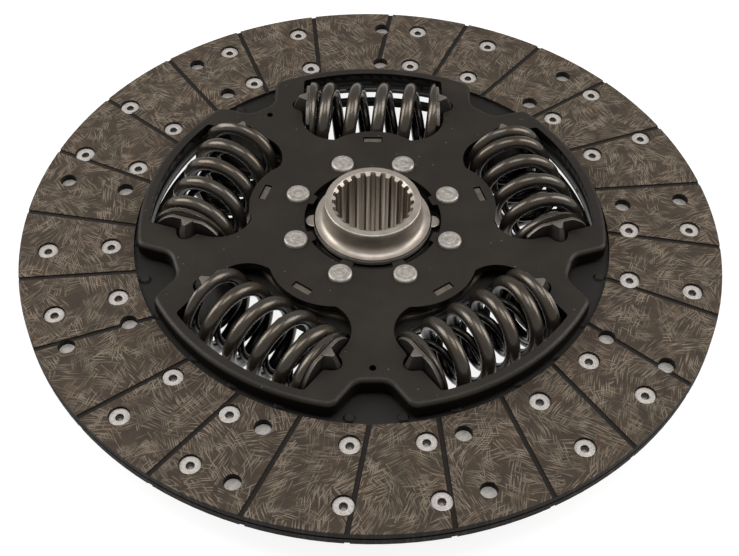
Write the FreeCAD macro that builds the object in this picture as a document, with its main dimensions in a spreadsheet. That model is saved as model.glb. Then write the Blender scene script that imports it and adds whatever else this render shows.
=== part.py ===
"""Clutch disc of a heavy truck, 430 mm, with a five-spring torsion damper.

The linings are riveted to nine cushion segments, and a pair of carrier plates holds the segments.
Five spring packs sit in windows of the carrier plates and of two side plates.
Eight rivets fix the side plates to the flange of the splined hub.
The origin is on the hub axis, halfway between the linings. +Z points to the photographed side.
All lengths are millimetres and all angles are degrees.
"""
import FreeCAD, Part
import math
import os
import re

import Sketcher
from FreeCAD import Placement, Rotation, Vector

# Driving dimensions. Heights are measured from the middle plane of the linings.
SIZES = {
    # Linings
    "lining_outer_radius": 215,
    "lining_inner_radius": 146.5,
    "lining_thickness": 4.25,
    "groove_count": 24,
    "groove_width": 3,
    "groove_depth": 1,
    "groove_offset": 22.7,
    "groove_phase": 5.44,
    # Cushion segments
    "segment_count": 9,
    "segment_thickness": 1,
    "segment_wave": 0.25,
    "segment_gap_angle": 1.5,
    "segment_foot_radius": 138,
    "segment_edge_inset": 2,
    "segment_phase": 36.85,
    "rear_pad_start": 7.5,
    # Lining rivets, as angles from the middle of a segment
    "outer_rivet_circle": 198,
    "inner_rivet_circle": 160.2,
    "front_rivet_angle_a": -11.25,
    "front_rivet_angle_b": 3.75,
    "rear_rivet_angle": 11.25,
    "rivet_flare_radius": 6.1,
    "rivet_flare_thickness": 1.2,
    "rivet_flare_edge": 0.36,
    "rivet_flare_bevel": 0.5,
    "rivet_shank_radius": 3.4,
    "rivet_bore_radius": 2.4,
    "rivet_sink": 1.3,
    "rivet_end_radius": 4.8,
    "rivet_end_thickness": 0.6,
    "counterbore_clearance": 0.25,
    "access_hole_radius": 5.1,
    # Carrier plates
    "carrier_thickness": 2.5,
    "carrier_outer_radius": 146,
    "carrier_window_inner_radius": 76,
    "carrier_window_outer_radius": 138,
    "carrier_window_half_width": 45.2,
    "segment_rivet_circle": 142,
    "segment_rivet_radius": 2.2,
    "segment_rivet_head_radius": 3.6,
    "segment_rivet_head_top_radius": 2.5,
    "segment_rivet_head_height": 1.5,
    "segment_rivet_spread": 12,
    # Side plates
    "side_plate_inner_height": 10,
    "front_plate_thickness": 5,
    "rear_plate_thickness": 4.5,
    "front_plate_radius": 143.5,
    "rear_plate_radius": 141,
    "skirt_height": 6,
    "skirt_wall": 5,
    "rim_round": 3.2,
    "window_count": 5,
    "window_half_width": 46.5,
    "window_outer_radius": 136.5,
    "window_bottom": 70,
    "window_lobe_radius": 21.5,
    "window_hump_top": 78.3,
    "window_hump_radius": 40,
    "window_corner_round": 2.5,
    "notch_depth": 7,
    "notch_half_height": 9.5,
    "recess_bottom": 124.6,
    "recess_half_bottom": 9,
    "recess_half_mouth": 21,
    "recess_mouth_lead": 6,
    "recess_wall_slant": 0.6,
    "recess_round": 9,
    "recess_flare_round": 7,
    "slot_radius": 70.5,
    "slot_length": 12.5,
    "slot_width": 4.6,
    "slot_clearance": 0.5,
    "gauge_hole_radius": 2,
    "gauge_hole_circle": 115.5,
    # Springs and their seats
    "spring_radius": 103.8,
    "outer_spring_outer_radius": 26.5,
    "outer_spring_wire": 8.6,
    "outer_spring_turns": 5.5,
    "inner_spring_outer_radius": 17.3,
    "inner_spring_wire": 4.6,
    "inner_spring_turns": 8.5,
    "spring_end_turns": 0.9,
    "spring_ground": 1.3,
    "spring_clearance": 0.15,
    "seat_thickness": 2.3,
    "seat_radius": 24,
    "seat_half_height": 22,
    "seat_inner_reach": 19.2,
    "nose_bottom": 9.5,
    "nose_top": 23.2,
    "nose_shoulder": 14.5,
    "nose_bottom_radius": 8.3,
    "nose_top_radius": 4.4,
    # Hub
    "hub_half_length": 30,
    "hub_neck_radius": 29.5,
    "hub_collar_radius": 36.3,
    "hub_collar_height": 15.4,
    "hub_neck_round": 6,
    "hub_edge_chamfer": 1,
    "hub_flange_radius": 60,
    "hub_lug_radius": 5,
    "hub_lug_reach": 41.5,
    "hub_lug_height": 2.6,
    "spline_count": 24,
    "spline_minor_radius": 23,
    "spline_major_radius": 25,
    "spline_space_inner": 4.1,
    "spline_space_outer": 2.5,
    "spline_chamfer": 1.6,
    "spline_chamfer_width": 2.4,
    "spline_cut_overlap": 0.6,
    "plate_hole_radius": 42,
    "plate_tooth_radius": 38.6,
    "plate_tooth_width": 7,
    "plate_tooth_flare": 1,
    "hub_rivet_count": 8,
    "hub_rivet_circle": 50.3,
    "hub_rivet_shank_radius": 5,
    "hub_rivet_head_radius": 7.1,
    "hub_rivet_head_height": 2.4,
    "hub_rivet_edge": 0.7,
    "hub_rivet_pip_radius": 0.8,
    "hub_rivet_pip_top_radius": 0.4,
    "hub_rivet_pip_height": 0.4,
    # Friction parts between the side plates
    "bush_thickness": 2.9,
    "running_clearance": 0.1,
    "friction_outer_radius": 75,
    "friction_inner_radius": 64,
    "friction_thickness": 2,
    "pressure_thickness": 1.5,
    "disc_spring_outer_radius": 67.5,
    "disc_spring_thickness": 1.2,
    "face_clearance": 0.05,
    "pressure_bore_clearance": 1,
    "disc_spring_bore_clearance": 1.5,
    "tab_sink": 1,
    # Reach of the cutting outlines past the metal
    "cut_margin": 10,
    "cut_half_width": 100,
}

WINDOW_PHASE = 90
HUB_RIVET_PHASE = 22.5
RECESS_PHASE = 54
GAUGE_HOLE_ANGLES = (126, 270)
# Points on the path of a spring in each turn, and the pitch of its closed turns in wire widths
COIL_STEPS = 14
CLOSED_PITCH = 1.02
# How near a place has to be to count as the same, in millimetres
SAME = 0.01
NEARBY = 2

doc = FreeCAD.newDocument("ClutchDisc")
sheet = doc.addObject("Spreadsheet::Sheet", "Sizes")
for row, (alias, number) in enumerate(SIZES.items(), 1):
    sheet.set(f"A{row}", alias)
    sheet.set(f"B{row}", str(number))
    sheet.setAlias(f"B{row}", alias)
doc.recompute()

# Heights and widths that follow from the driving dimensions
SEGMENT_HALF = "segment_thickness / 2"
LINING_INNER_Z = f"({SEGMENT_HALF} + segment_wave)"
LINING_OUTER_Z = f"({LINING_INNER_Z} + lining_thickness)"
CARRIER_TOP = f"({SEGMENT_HALF} + carrier_thickness)"
FRONT_FACE = "(side_plate_inner_height + front_plate_thickness)"
REAR_FACE = "(side_plate_inner_height + rear_plate_thickness)"
SEAT_FACE = "(carrier_window_half_width - spring_clearance)"
CARRIER_BORE = "(hub_flange_radius + bush_thickness + running_clearance)"
FRONT_ANGLES = ("segment_phase + front_rivet_angle_a", "segment_phase + front_rivet_angle_b")
REAR_ANGLES = ("segment_phase + rear_rivet_angle",)


def full(formula):
    """A formula with each size written as its cell in the sheet."""
    return re.sub(r"[a-z_]+", lambda word: f"Sizes.{word[0]}" if word[0] in SIZES else word[0], formula)


def size(formula):
    """The present value of a formula."""
    return float(sheet.evalExpression(full(formula)))


def bind(target, prop, formula):
    """Ties a property to the sheet."""
    target.setExpression(prop, full(formula))


def new_body(label):
    """An empty body that may hold several separate solids."""
    body = doc.addObject("PartDesign::Body", label)
    body.Label = label
    body.AllowCompound = True
    return body


def new_sketch(body, name, height="0", role="XY_Plane", turn="0"):
    """A sketch on an origin plane, raised along the plane's normal and turned about the disc axis."""
    sketch = body.newObject("Sketcher::SketchObject", name)
    plane = next(item for item in body.Origin.OriginFeatures if item.Role == role)
    sketch.AttachmentSupport = [(plane, "")]
    sketch.MapMode = "FlatFace"
    disc_axis = Vector(0, 0, 1) if role == "XY_Plane" else Vector(0, 1, 0)
    sketch.AttachmentOffset = Placement(Vector(0, 0, size(height)), Rotation(disc_axis, size(turn)))
    bind(sketch, "AttachmentOffset.Base.z", height)
    bind(sketch, "AttachmentOffset.Rotation.Angle", turn)
    return sketch


def constrain(sketch, kind, *places, formula):
    """A dimension of the sketch, tied to the sheet."""
    index = sketch.addConstraint(Sketcher.Constraint(kind, *places, size(formula)))
    bind(sketch, f"Constraints[{index}]", formula)


def pin(sketch, geometry, end, across=None, up=None):
    """Sets how far a point lies from the sketch origin, across it, up it or both."""
    if across is not None:
        constrain(sketch, "DistanceX", -1, 1, geometry, end, formula=across)
    if up is not None:
        constrain(sketch, "DistanceY", -1, 1, geometry, end, formula=up)


def draw_polygon(sketch, corners):
    """A closed outline of straight sides. Each corner is a pair of formulas."""
    spots = [Vector(size(across), size(up), 0) for across, up in corners]
    first = sketch.GeometryCount
    for here, there in zip(spots, spots[1:] + spots[:1]):
        sketch.addGeometry(Part.LineSegment(here, there))
    for index, (across, up) in enumerate(corners):
        before = first + (index - 1) % len(corners)
        sketch.addConstraint(Sketcher.Constraint("Coincident", before, 2, first + index, 1))
        pin(sketch, first + index, 1, across, up)


def draw_circle(sketch, across, up, radius):
    """A circle with its centre and radius given as formulas."""
    centre = Vector(size(across), size(up), 0)
    circle = sketch.addGeometry(Part.Circle(centre, Vector(0, 0, 1), size(radius)))
    pin(sketch, circle, 3, across, up)
    constrain(sketch, "Radius", circle, formula=radius)


def draw_arc(sketch, centre, radius, start, end):
    """An anticlockwise arc. Its centre and radius are formulas, its ends are first guesses in degrees."""
    spot = Vector(size(centre[0]), size(centre[1]), 0)
    circle = Part.Circle(spot, Vector(0, 0, 1), size(radius))
    arc = sketch.addGeometry(Part.ArcOfCircle(circle, math.radians(start), math.radians(end)))
    pin(sketch, arc, 3, *centre)
    constrain(sketch, "Radius", arc, formula=radius)
    return arc


def draw_line(sketch, start, end):
    """A straight side between two first guesses, given as pairs of numbers."""
    return sketch.addGeometry(Part.LineSegment(Vector(*start, 0), Vector(*end, 0)))


def join(sketch, *ends):
    """Closes an outline: each item is a curve with the end where it starts and the end where it stops."""
    for (here, _, stop), (there, begin, _) in zip(ends, ends[1:] + ends[:1]):
        sketch.addConstraint(Sketcher.Constraint("Coincident", here, stop, there, begin))


def pad(body, sketch, name, length):
    """Material from the sketch upwards along its normal."""
    feature = body.newObject("PartDesign::Pad", name)
    feature.Profile = sketch
    bind(feature, "Length", length)
    body.Tip = feature
    return feature


def pocket(body, sketch, name, length):
    """A cut from the sketch downwards against its normal."""
    feature = body.newObject("PartDesign::Pocket", name)
    feature.Profile = sketch
    bind(feature, "Length", length)
    body.Tip = feature
    return feature


def revolve(body, sketch, name, axis="V_Axis"):
    """A full turn of the sketch about one of its axes."""
    feature = body.newObject("PartDesign::Revolution", name)
    feature.Profile = sketch
    feature.ReferenceAxis = (sketch, [axis])
    feature.Angle = 360
    body.Tip = feature
    return feature


def polar(body, features, name, count):
    """Repeats features round the disc axis."""
    pattern = body.newObject("PartDesign::PolarPattern", name)
    pattern.Originals = features
    axis = next(item for item in body.Origin.OriginFeatures if item.Role == "Z_Axis")
    pattern.Axis = (axis, [""])
    pattern.Angle = 360
    bind(pattern, "Occurrences", count)
    body.Tip = pattern
    return pattern


def rounded(body, base, name, radius, chosen):
    """Rounds the edges of a feature for which chosen() is true."""
    doc.recompute()
    edges = [f"Edge{index}" for index, edge in enumerate(base.Shape.Edges, 1) if chosen(edge)]
    feature = body.newObject("PartDesign::Fillet", name)
    feature.Base = (base, edges)
    bind(feature, "Radius", radius)
    body.Tip = feature
    return feature


def upright(edge):
    """Whether an edge is a straight line along the disc axis."""
    if not isinstance(edge.Curve, Part.Line):
        return False
    start, end = (vertex.Point for vertex in edge.Vertexes)
    return math.hypot(start.x - end.x, start.y - end.y) < SAME


def turned(label, corners):
    """A ring turned about the disc axis from an outline of radii and heights."""
    body = new_body(label)
    section = new_sketch(body, "Section", role="XZ_Plane")
    draw_polygon(section, corners)
    revolve(body, section, "Turned")
    return body


def ring_section(inner, outer, low, high):
    """The four corners of a plain ring's section."""
    return [(inner, low), (outer, low), (outer, high), (inner, high)]


def on_circle(radius, angle):
    """The place on a circle about the disc axis, as a pair of formulas."""
    return f"({radius}) * cos({angle})", f"({radius}) * sin({angle})"


def lining(label, side, own_angles, other_angles):
    """A friction lining. side is +1 in front and -1 behind."""
    body = new_body(label)
    inner, outer = LINING_INNER_Z, LINING_OUTER_Z
    low, high = (inner, outer) if side > 0 else (f"-{outer}", f"-{inner}")
    blank = new_sketch(body, "Blank", low)
    draw_circle(blank, "0", "0", "lining_outer_radius")
    draw_circle(blank, "0", "0", "lining_inner_radius")
    pad(body, blank, "Ring", "lining_thickness")

    holes = new_sketch(body, "RivetHoles", high)
    access = "access_hole_radius"
    for circle in ("outer_rivet_circle", "inner_rivet_circle"):
        for angle in own_angles:
            draw_circle(holes, *on_circle(circle, angle), "rivet_shank_radius")
        for angle in other_angles:
            draw_circle(holes, *on_circle(circle, angle), access)
    drilled = pocket(body, holes, "Drilled", "lining_thickness")

    bores = new_sketch(body, "Counterbores", outer if side > 0 else f"-{outer} + rivet_sink + rivet_flare_thickness")
    for circle in ("outer_rivet_circle", "inner_rivet_circle"):
        for angle in own_angles:
            draw_circle(bores, *on_circle(circle, angle), "rivet_flare_radius + counterbore_clearance")
    counterbored = pocket(body, bores, "Counterbored", "rivet_sink + rivet_flare_thickness")
    polar(body, [drilled, counterbored], "RivetPattern", "segment_count")

    groove = new_sketch(body, "Groove", outer if side > 0 else f"-{outer} + groove_depth", turn="groove_phase")
    reach_in, reach_out = "lining_inner_radius - cut_margin", "lining_outer_radius + cut_margin"
    left, right = "groove_offset - groove_width / 2", "groove_offset + groove_width / 2"
    draw_polygon(groove, [(reach_in, left), (reach_out, left), (reach_out, right), (reach_in, right)])
    cut = pocket(body, groove, "GrooveCut", "groove_depth")
    polar(body, [cut], "GroovePattern", "groove_count")
    return body


def sector(sketch, inner, outer, half_angle):
    """A sector of a ring, symmetric about the sketch's X axis."""
    half = size(half_angle)
    low, high = size(inner), size(outer)
    rim = draw_arc(sketch, ("0", "0"), outer, -half, half)
    upper = draw_line(sketch, on_place(high, half), on_place(low, half))
    bore = draw_arc(sketch, ("0", "0"), inner, -half, half)
    lower = draw_line(sketch, on_place(low, -half), on_place(high, -half))
    join(sketch, (rim, 1, 2), (upper, 1, 2), (bore, 2, 1), (lower, 1, 2))
    pin(sketch, rim, 2, up=f"({outer}) * sin({half_angle})")
    pin(sketch, rim, 1, up=f"-({outer}) * sin({half_angle})")
    pin(sketch, bore, 2, up=f"({inner}) * sin({half_angle})")
    pin(sketch, bore, 1, up=f"-({inner}) * sin({half_angle})")


def on_place(radius, angle):
    """The numbers of a place on a circle."""
    return radius * math.cos(math.radians(angle)), radius * math.sin(math.radians(angle))


def cushion_segment(number):
    """A spring steel paddle. Its front pad bears on the front lining, its rear pad on the rear one."""
    body = new_body(f"cushion_segment_{number}")
    wave_top = f"{SEGMENT_HALF} + segment_wave"
    half_angle = "(180 / segment_count - segment_gap_angle / 2)"
    blank = new_sketch(body, "Blank", f"-({wave_top})")
    sector(blank, "segment_foot_radius", "lining_outer_radius - segment_edge_inset", half_angle)
    pad(body, blank, "Sheet", f"2 * ({wave_top})")
    edge = "lining_outer_radius + cut_margin"
    side = "cut_half_width"
    foot_edge = "carrier_outer_radius"
    step = on_circle(edge, "rear_pad_start")
    step_foot = on_circle(foot_edge, "rear_pad_start")
    front_pad = [(foot_edge, f"-({side})"), (edge, f"-({side})"), step, step_foot]
    rear_pad = [step_foot, step, (edge, side), (foot_edge, side)]

    under_front = new_sketch(body, "UnderFrontPad", f"-({wave_top}) + 2 * segment_wave")
    draw_polygon(under_front, front_pad)
    pocket(body, under_front, "FrontPad", "2 * segment_wave")
    over_rear = new_sketch(body, "OverRearPad", wave_top)
    draw_polygon(over_rear, rear_pad)
    pocket(body, over_rear, "RearPad", "2 * segment_wave")
    foot = ring_corners("segment_foot_radius - cut_margin", foot_edge, side)
    for name, height in (("UnderFoot", f"-({wave_top}) + segment_wave"), ("OverFoot", wave_top)):
        face = new_sketch(body, name, height)
        draw_polygon(face, foot)
        pocket(body, face, name + "Cut", "segment_wave")

    holes = new_sketch(body, "Holes", wave_top)
    for circle in ("outer_rivet_circle", "inner_rivet_circle"):
        for angle in ("front_rivet_angle_a", "front_rivet_angle_b", "rear_rivet_angle"):
            draw_circle(holes, *on_circle(circle, angle), "rivet_shank_radius")
    for turn in ("-segment_rivet_spread", "0", "segment_rivet_spread"):
        draw_circle(holes, *on_circle("segment_rivet_circle", turn), "segment_rivet_radius")
    pocket(body, holes, "Punched", f"2 * ({wave_top})")
    turn_to(body, f"segment_phase + {number - 1} * 360 / segment_count")
    return body


def ring_corners(inner, outer, side):
    """A rectangle across the foot of a segment."""
    return [(inner, f"-({side})"), (outer, f"-({side})"), (outer, side), (inner, side)]


def turn_to(body, angle):
    """Turns a finished body about the disc axis."""
    body.Placement = Placement(Vector(0, 0, 0), Rotation(Vector(0, 0, 1), size(angle)))
    bind(body, "Placement.Rotation.Angle", angle)


def lining_rivets(label, side, angles):
    """Blind tubular rivets: the flared end sinks into the lining, the flat end lies on the segment."""
    body = new_body(label)
    sign = "" if side > 0 else "-"
    face = f"{LINING_OUTER_Z} - rivet_sink"
    under = f"{face} - rivet_flare_thickness"
    # The pad that a rivet holds is pressed against its own lining.
    pad_face = f"segment_wave - {SEGMENT_HALF}"
    end = f"{pad_face} - rivet_end_thickness"
    made = []
    for circle in ("outer_rivet_circle", "inner_rivet_circle"):
        for angle in angles:
            section = new_sketch(body, "Section", role="XZ_Plane", turn=angle)
            reach = [
                ("0", end), ("rivet_end_radius", end), ("rivet_end_radius", pad_face),
                ("rivet_shank_radius", pad_face), ("rivet_shank_radius", under),
                ("rivet_flare_radius", under), ("rivet_flare_radius", f"{face} - rivet_flare_edge"),
                ("rivet_flare_radius - rivet_flare_bevel", face), ("rivet_bore_radius", face),
                ("rivet_bore_radius", f"{pad_face}"), ("0", f"{pad_face}"),
            ]
            draw_polygon(section, [(f"{circle} + {across}", f"{sign}({up})") for across, up in reach])
            axis = section.addGeometry(Part.LineSegment(
                Vector(size(circle), 0, 0), Vector(size(circle), size("lining_thickness"), 0)), True)
            pin(section, axis, 1, circle, "0")
            pin(section, axis, 2, circle, "lining_thickness")
            made.append(revolve(body, section, "Rivet", "Axis0"))
    polar(body, made, "RivetPattern", "segment_count")
    return body


def carrier_plate(label, side):
    """One of the two plates that clamp the cushion segments and drive the springs."""
    body = new_body(label)
    low = SEGMENT_HALF if side > 0 else f"-{CARRIER_TOP}"
    high = CARRIER_TOP if side > 0 else f"-{SEGMENT_HALF}"
    blank = new_sketch(body, "Blank", low)
    draw_circle(blank, "0", "0", "carrier_outer_radius")
    draw_circle(blank, "0", "0", CARRIER_BORE)
    pad(body, blank, "Ring", "carrier_thickness")
    opening = new_sketch(body, "Window", high, turn=f"{WINDOW_PHASE}")
    wide = size("carrier_window_half_width")
    rim = size("carrier_window_outer_radius")
    corner = math.degrees(math.asin(wide / rim))
    arc = draw_arc(opening, ("0", "0"), "carrier_window_outer_radius", -corner, corner)
    outside = rim * math.cos(math.radians(corner))
    base = size("carrier_window_inner_radius")
    upper = draw_line(opening, (outside, wide), (base, wide))
    inner = draw_line(opening, (base, wide), (base, -wide))
    lower = draw_line(opening, (base, -wide), (outside, -wide))
    join(opening, (arc, 1, 2), (upper, 1, 2), (inner, 1, 2), (lower, 1, 2))
    pin(opening, arc, 2, up="carrier_window_half_width")
    pin(opening, arc, 1, up="-carrier_window_half_width")
    pin(opening, inner, 1, "carrier_window_inner_radius", "carrier_window_half_width")
    pin(opening, inner, 2, "carrier_window_inner_radius", "-carrier_window_half_width")
    cut = pocket(body, opening, "WindowCut", "carrier_thickness")
    windows = polar(body, [cut], "WindowPattern", "window_count")
    rounded(body, windows, "WindowCorners", "window_corner_round", upright)
    holes = new_sketch(body, "RivetHoles", high, turn="segment_phase")
    for turn in ("-segment_rivet_spread", "0", "segment_rivet_spread"):
        draw_circle(holes, *on_circle("segment_rivet_circle", turn), "segment_rivet_radius")
    drilled = pocket(body, holes, "Drilled", "carrier_thickness")
    polar(body, [drilled], "RivetPattern", "segment_count")
    return body


def bearing_to(centre, spot):
    """The direction from a centre to a place, in degrees from 0 to 360."""
    return math.degrees(math.atan2(spot[1] - centre[1], spot[0] - centre[0])) % 360


def crossing(one, one_radius, other, other_radius, choose):
    """Where two circles cross. choose is min for the lower of the two places and max for the upper."""
    apart = math.dist(one, other)
    along = (one_radius ** 2 - other_radius ** 2 + apart ** 2) / (2 * apart)
    aside = math.sqrt(one_radius ** 2 - along ** 2)
    across, up = (other[0] - one[0]) / apart, (other[1] - one[1]) / apart
    spots = [(one[0] + along * across + side * up, one[1] + along * up - side * across) for side in (aside, -aside)]
    return choose(spots, key=lambda spot: spot[1])


def window_outline(sketch, right_end):
    """The side plate's window, seen with its middle on the sketch's Y axis. The hump between the lobes ends at
    the lower crossing on the left, and right_end chooses its crossing on the right."""
    half, rim = "window_half_width", "window_outer_radius"
    lobe_across = "window_half_width - window_lobe_radius"
    lobe_up = "window_bottom + window_lobe_radius"
    hump_centre = ("0", "window_hump_top - window_hump_radius")
    notch_radius = "(notch_half_height ^ 2 + notch_depth ^ 2) / (2 * notch_depth)"
    notch_across = f"window_half_width + notch_depth - {notch_radius}"
    corner = math.degrees(math.acos(size(half) / size(rim)))
    mouth = math.degrees(math.asin(size("notch_half_height") / size(notch_radius)))
    mouth = mouth if size("notch_depth") < size(notch_radius) else 180 - mouth
    wide, middle, drop = size(half), size("spring_radius"), size("notch_half_height")
    top = size(rim) * math.sin(math.radians(corner))
    turn = size(lobe_up)
    lobe_spot, hump_spot = (size(lobe_across), turn), (0, size(hump_centre[1]))
    circles = (hump_spot, size("window_hump_radius"), lobe_spot, size("window_lobe_radius"))
    left, right = crossing(*circles, min), crossing(*circles, right_end)

    outer = draw_arc(sketch, ("0", "0"), rim, corner, 180 - corner)
    left_top = draw_line(sketch, (-wide, top), (-wide, middle + drop))
    left_notch = draw_arc(sketch, (f"-({notch_across})", "spring_radius"), notch_radius, 180 - mouth, 180 + mouth)
    left_side = draw_line(sketch, (-wide, middle - drop), (-wide, turn))
    left_lobe = draw_arc(sketch, (f"-({lobe_across})", lobe_up), "window_lobe_radius", 180,
                         540 - bearing_to(lobe_spot, left))
    hump = draw_arc(sketch, hump_centre, "window_hump_radius", bearing_to(hump_spot, right),
                    180 - bearing_to(hump_spot, left))
    right_lobe = draw_arc(sketch, (lobe_across, lobe_up), "window_lobe_radius", bearing_to(lobe_spot, right), 360)
    right_side = draw_line(sketch, (wide, turn), (wide, middle - drop))
    right_notch = draw_arc(sketch, (notch_across, "spring_radius"), notch_radius, -mouth, mouth)
    right_top = draw_line(sketch, (wide, middle + drop), (wide, top))
    join(sketch, (outer, 1, 2), (left_top, 1, 2), (left_notch, 1, 2), (left_side, 1, 2), (left_lobe, 1, 2),
         (hump, 2, 1), (right_lobe, 1, 2), (right_side, 1, 2), (right_notch, 1, 2), (right_top, 1, 2))
    for line, across in ((left_top, f"-{half}"), (right_top, half)):
        pin(sketch, line, 1, across)
        pin(sketch, line, 2, across)
    pin(sketch, left_side, 1, f"-{half}")
    pin(sketch, right_side, 2, half)
    pin(sketch, left_side, 2, up=lobe_up)
    pin(sketch, right_side, 1, up=lobe_up)


def window_corner(edge):
    """Whether an upright edge is a corner of a window, and not the smooth start of a lobe."""
    if not upright(edge):
        return False
    spot = edge.Vertexes[0].Point
    step = 360 / size("window_count")
    bearing = math.degrees(math.atan2(spot.y, spot.x)) - WINDOW_PHASE
    across, up = on_place(math.hypot(spot.x, spot.y), 90 + bearing - step * round(bearing / step))
    smooth = abs(up - size("window_bottom") - size("window_lobe_radius")) < SAME
    return abs(across) < size("window_half_width") + SAME and up > size("window_bottom") and not smooth


def cut_openings(body, top, thickness, hump_end):
    """The windows, hub hole, rivet holes and centring teeth that both side plates share."""
    outline = new_sketch(body, "Window", top)
    window_outline(outline, hump_end)
    cut = pocket(body, outline, "WindowCut", thickness)
    windows = polar(body, [cut], "WindowPattern", "window_count")
    rounded(body, windows, "WindowCorners", "window_corner_round", window_corner)
    hole = new_sketch(body, "HubHole", top)
    draw_circle(hole, "0", "0", "plate_hole_radius")
    pocket(body, hole, "HubHoleCut", thickness)
    tooth = new_sketch(body, "Tooth", f"{top} - {thickness}", turn=f"{HUB_RIVET_PHASE}")
    wide, root = "plate_tooth_width / 2", "plate_hole_radius + plate_tooth_flare"
    draw_polygon(tooth, [("plate_tooth_radius", f"-{wide}"), (root, f"-{wide} - plate_tooth_flare"),
                         (root, f"{wide} + plate_tooth_flare"), ("plate_tooth_radius", wide)])
    teeth = pad(body, tooth, "ToothPad", thickness)
    polar(body, [teeth], "ToothPattern", "hub_rivet_count")
    drill = new_sketch(body, "HubRivetHoles", top, turn=f"{HUB_RIVET_PHASE}")
    draw_circle(drill, "hub_rivet_circle", "0", "hub_rivet_shank_radius")
    drilled = pocket(body, drill, "HubRivetDrilled", thickness)
    polar(body, [drilled], "HubRivetPattern", "hub_rivet_count")


def recess_corners(wall):
    """A half-moon dent of the rim, its middle on the sketch's X axis, grown by a wall."""
    mouth = f"(recess_half_mouth + {wall})"
    bottom = f"(recess_half_bottom + {wall} * recess_wall_slant)"
    low, high = f"recess_bottom - {wall}", "front_plate_radius - skirt_wall / 2"
    return low, high, bottom, mouth


def front_side_plate():
    """The pressed pan with a skirt, five windows and five half-moon dents in its rim."""
    body = new_body("front_side_plate")
    disc = new_sketch(body, "Disc", "side_plate_inner_height")
    draw_circle(disc, "0", "0", "front_plate_radius")
    pad(body, disc, "Face", "front_plate_thickness")
    skirt = new_sketch(body, "Skirt", "skirt_height")
    draw_circle(skirt, "0", "0", "front_plate_radius")
    draw_circle(skirt, "0", "0", "front_plate_radius - skirt_wall")
    pad(body, skirt, "SkirtWall", "side_plate_inner_height - skirt_height")
    low, high, bottom, mouth = recess_corners("skirt_wall")
    wall = new_sketch(body, "DentWall", "skirt_height", turn=f"{RECESS_PHASE}")
    draw_polygon(wall, [(low, f"-{bottom}"), (high, f"-{mouth}"), (high, mouth), (low, bottom)])
    walls = pad(body, wall, "DentWallPad", "side_plate_inner_height - skirt_height")
    walled = polar(body, [walls], "DentWallPattern", "window_count")
    low, high, bottom, mouth = recess_corners("0")
    outside = "front_plate_radius + skirt_wall"
    dent = new_sketch(body, "Dent", FRONT_FACE, turn=f"{RECESS_PHASE}")
    draw_polygon(dent, [(low, f"-{bottom}"), (high, f"-{mouth}"), (outside, f"-{mouth} - recess_mouth_lead"),
                        (outside, f"{mouth} + recess_mouth_lead"), (high, mouth), (low, bottom)])
    dents = pocket(body, dent, "DentCut", f"{FRONT_FACE} - skirt_height")
    dented = polar(body, [dents], "DentPattern", "window_count")

    floor_reach = size("recess_bottom") + NEARBY
    soft = rounded(body, dented, "DentFloor", "recess_round",
                   lambda edge: upright(edge) and size(FRONT_FACE) - top_of(edge) < SAME
                   and reach_of(edge) < floor_reach and reach_of(edge) > size("recess_bottom") - NEARBY)
    flared = rounded(body, soft, "DentFlare", "recess_flare_round",
                     lambda edge: upright(edge) and size(FRONT_FACE) - top_of(edge) < SAME
                     and reach_of(edge) > size("front_plate_radius - skirt_wall"))
    rounded(body, flared, "RimRound", "rim_round",
            lambda edge: edge.BoundBox.ZMin > size(FRONT_FACE) - SAME)
    cut_openings(body, FRONT_FACE, "front_plate_thickness", min)
    slot = new_sketch(body, "TabSlot", FRONT_FACE, turn=f"{WINDOW_PHASE}")
    draw_polygon(slot, tab_corners("slot_length / 2", "slot_width / 2"))
    slots = pocket(body, slot, "TabSlotCut", "front_plate_thickness")
    polar(body, [slots], "TabSlotPattern", "window_count")
    holes = new_sketch(body, "GaugeHoles", FRONT_FACE)
    for angle in GAUGE_HOLE_ANGLES:
        draw_circle(holes, *on_circle("gauge_hole_circle", str(angle)), "gauge_hole_radius")
    pocket(body, holes, "GaugeHolesDrilled", "front_plate_thickness")
    return body


def tab_corners(half_length, half_width):
    """A rectangle across a window's middle line, at the tab slots."""
    low, high = f"slot_radius - ({half_width})", f"slot_radius + ({half_width})"
    return [(low, f"-({half_length})"), (high, f"-({half_length})"), (high, half_length), (low, half_length)]


def top_of(edge):
    """The highest point of an edge."""
    return edge.BoundBox.ZMax


def reach_of(edge):
    """How far an edge's first end lies from the disc axis."""
    spot = edge.Vertexes[0].Point
    return math.hypot(spot.x, spot.y)


def rear_side_plate():
    """The flat plate behind. Its windows are those of the front plate but for a shorter hump on the right."""
    body = new_body("rear_side_plate")
    disc = new_sketch(body, "Disc", f"-{REAR_FACE}")
    draw_circle(disc, "0", "0", "rear_plate_radius")
    pad(body, disc, "Face", "rear_plate_thickness")
    cut_openings(body, "-side_plate_inner_height", "rear_plate_thickness", max)
    return body


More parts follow.
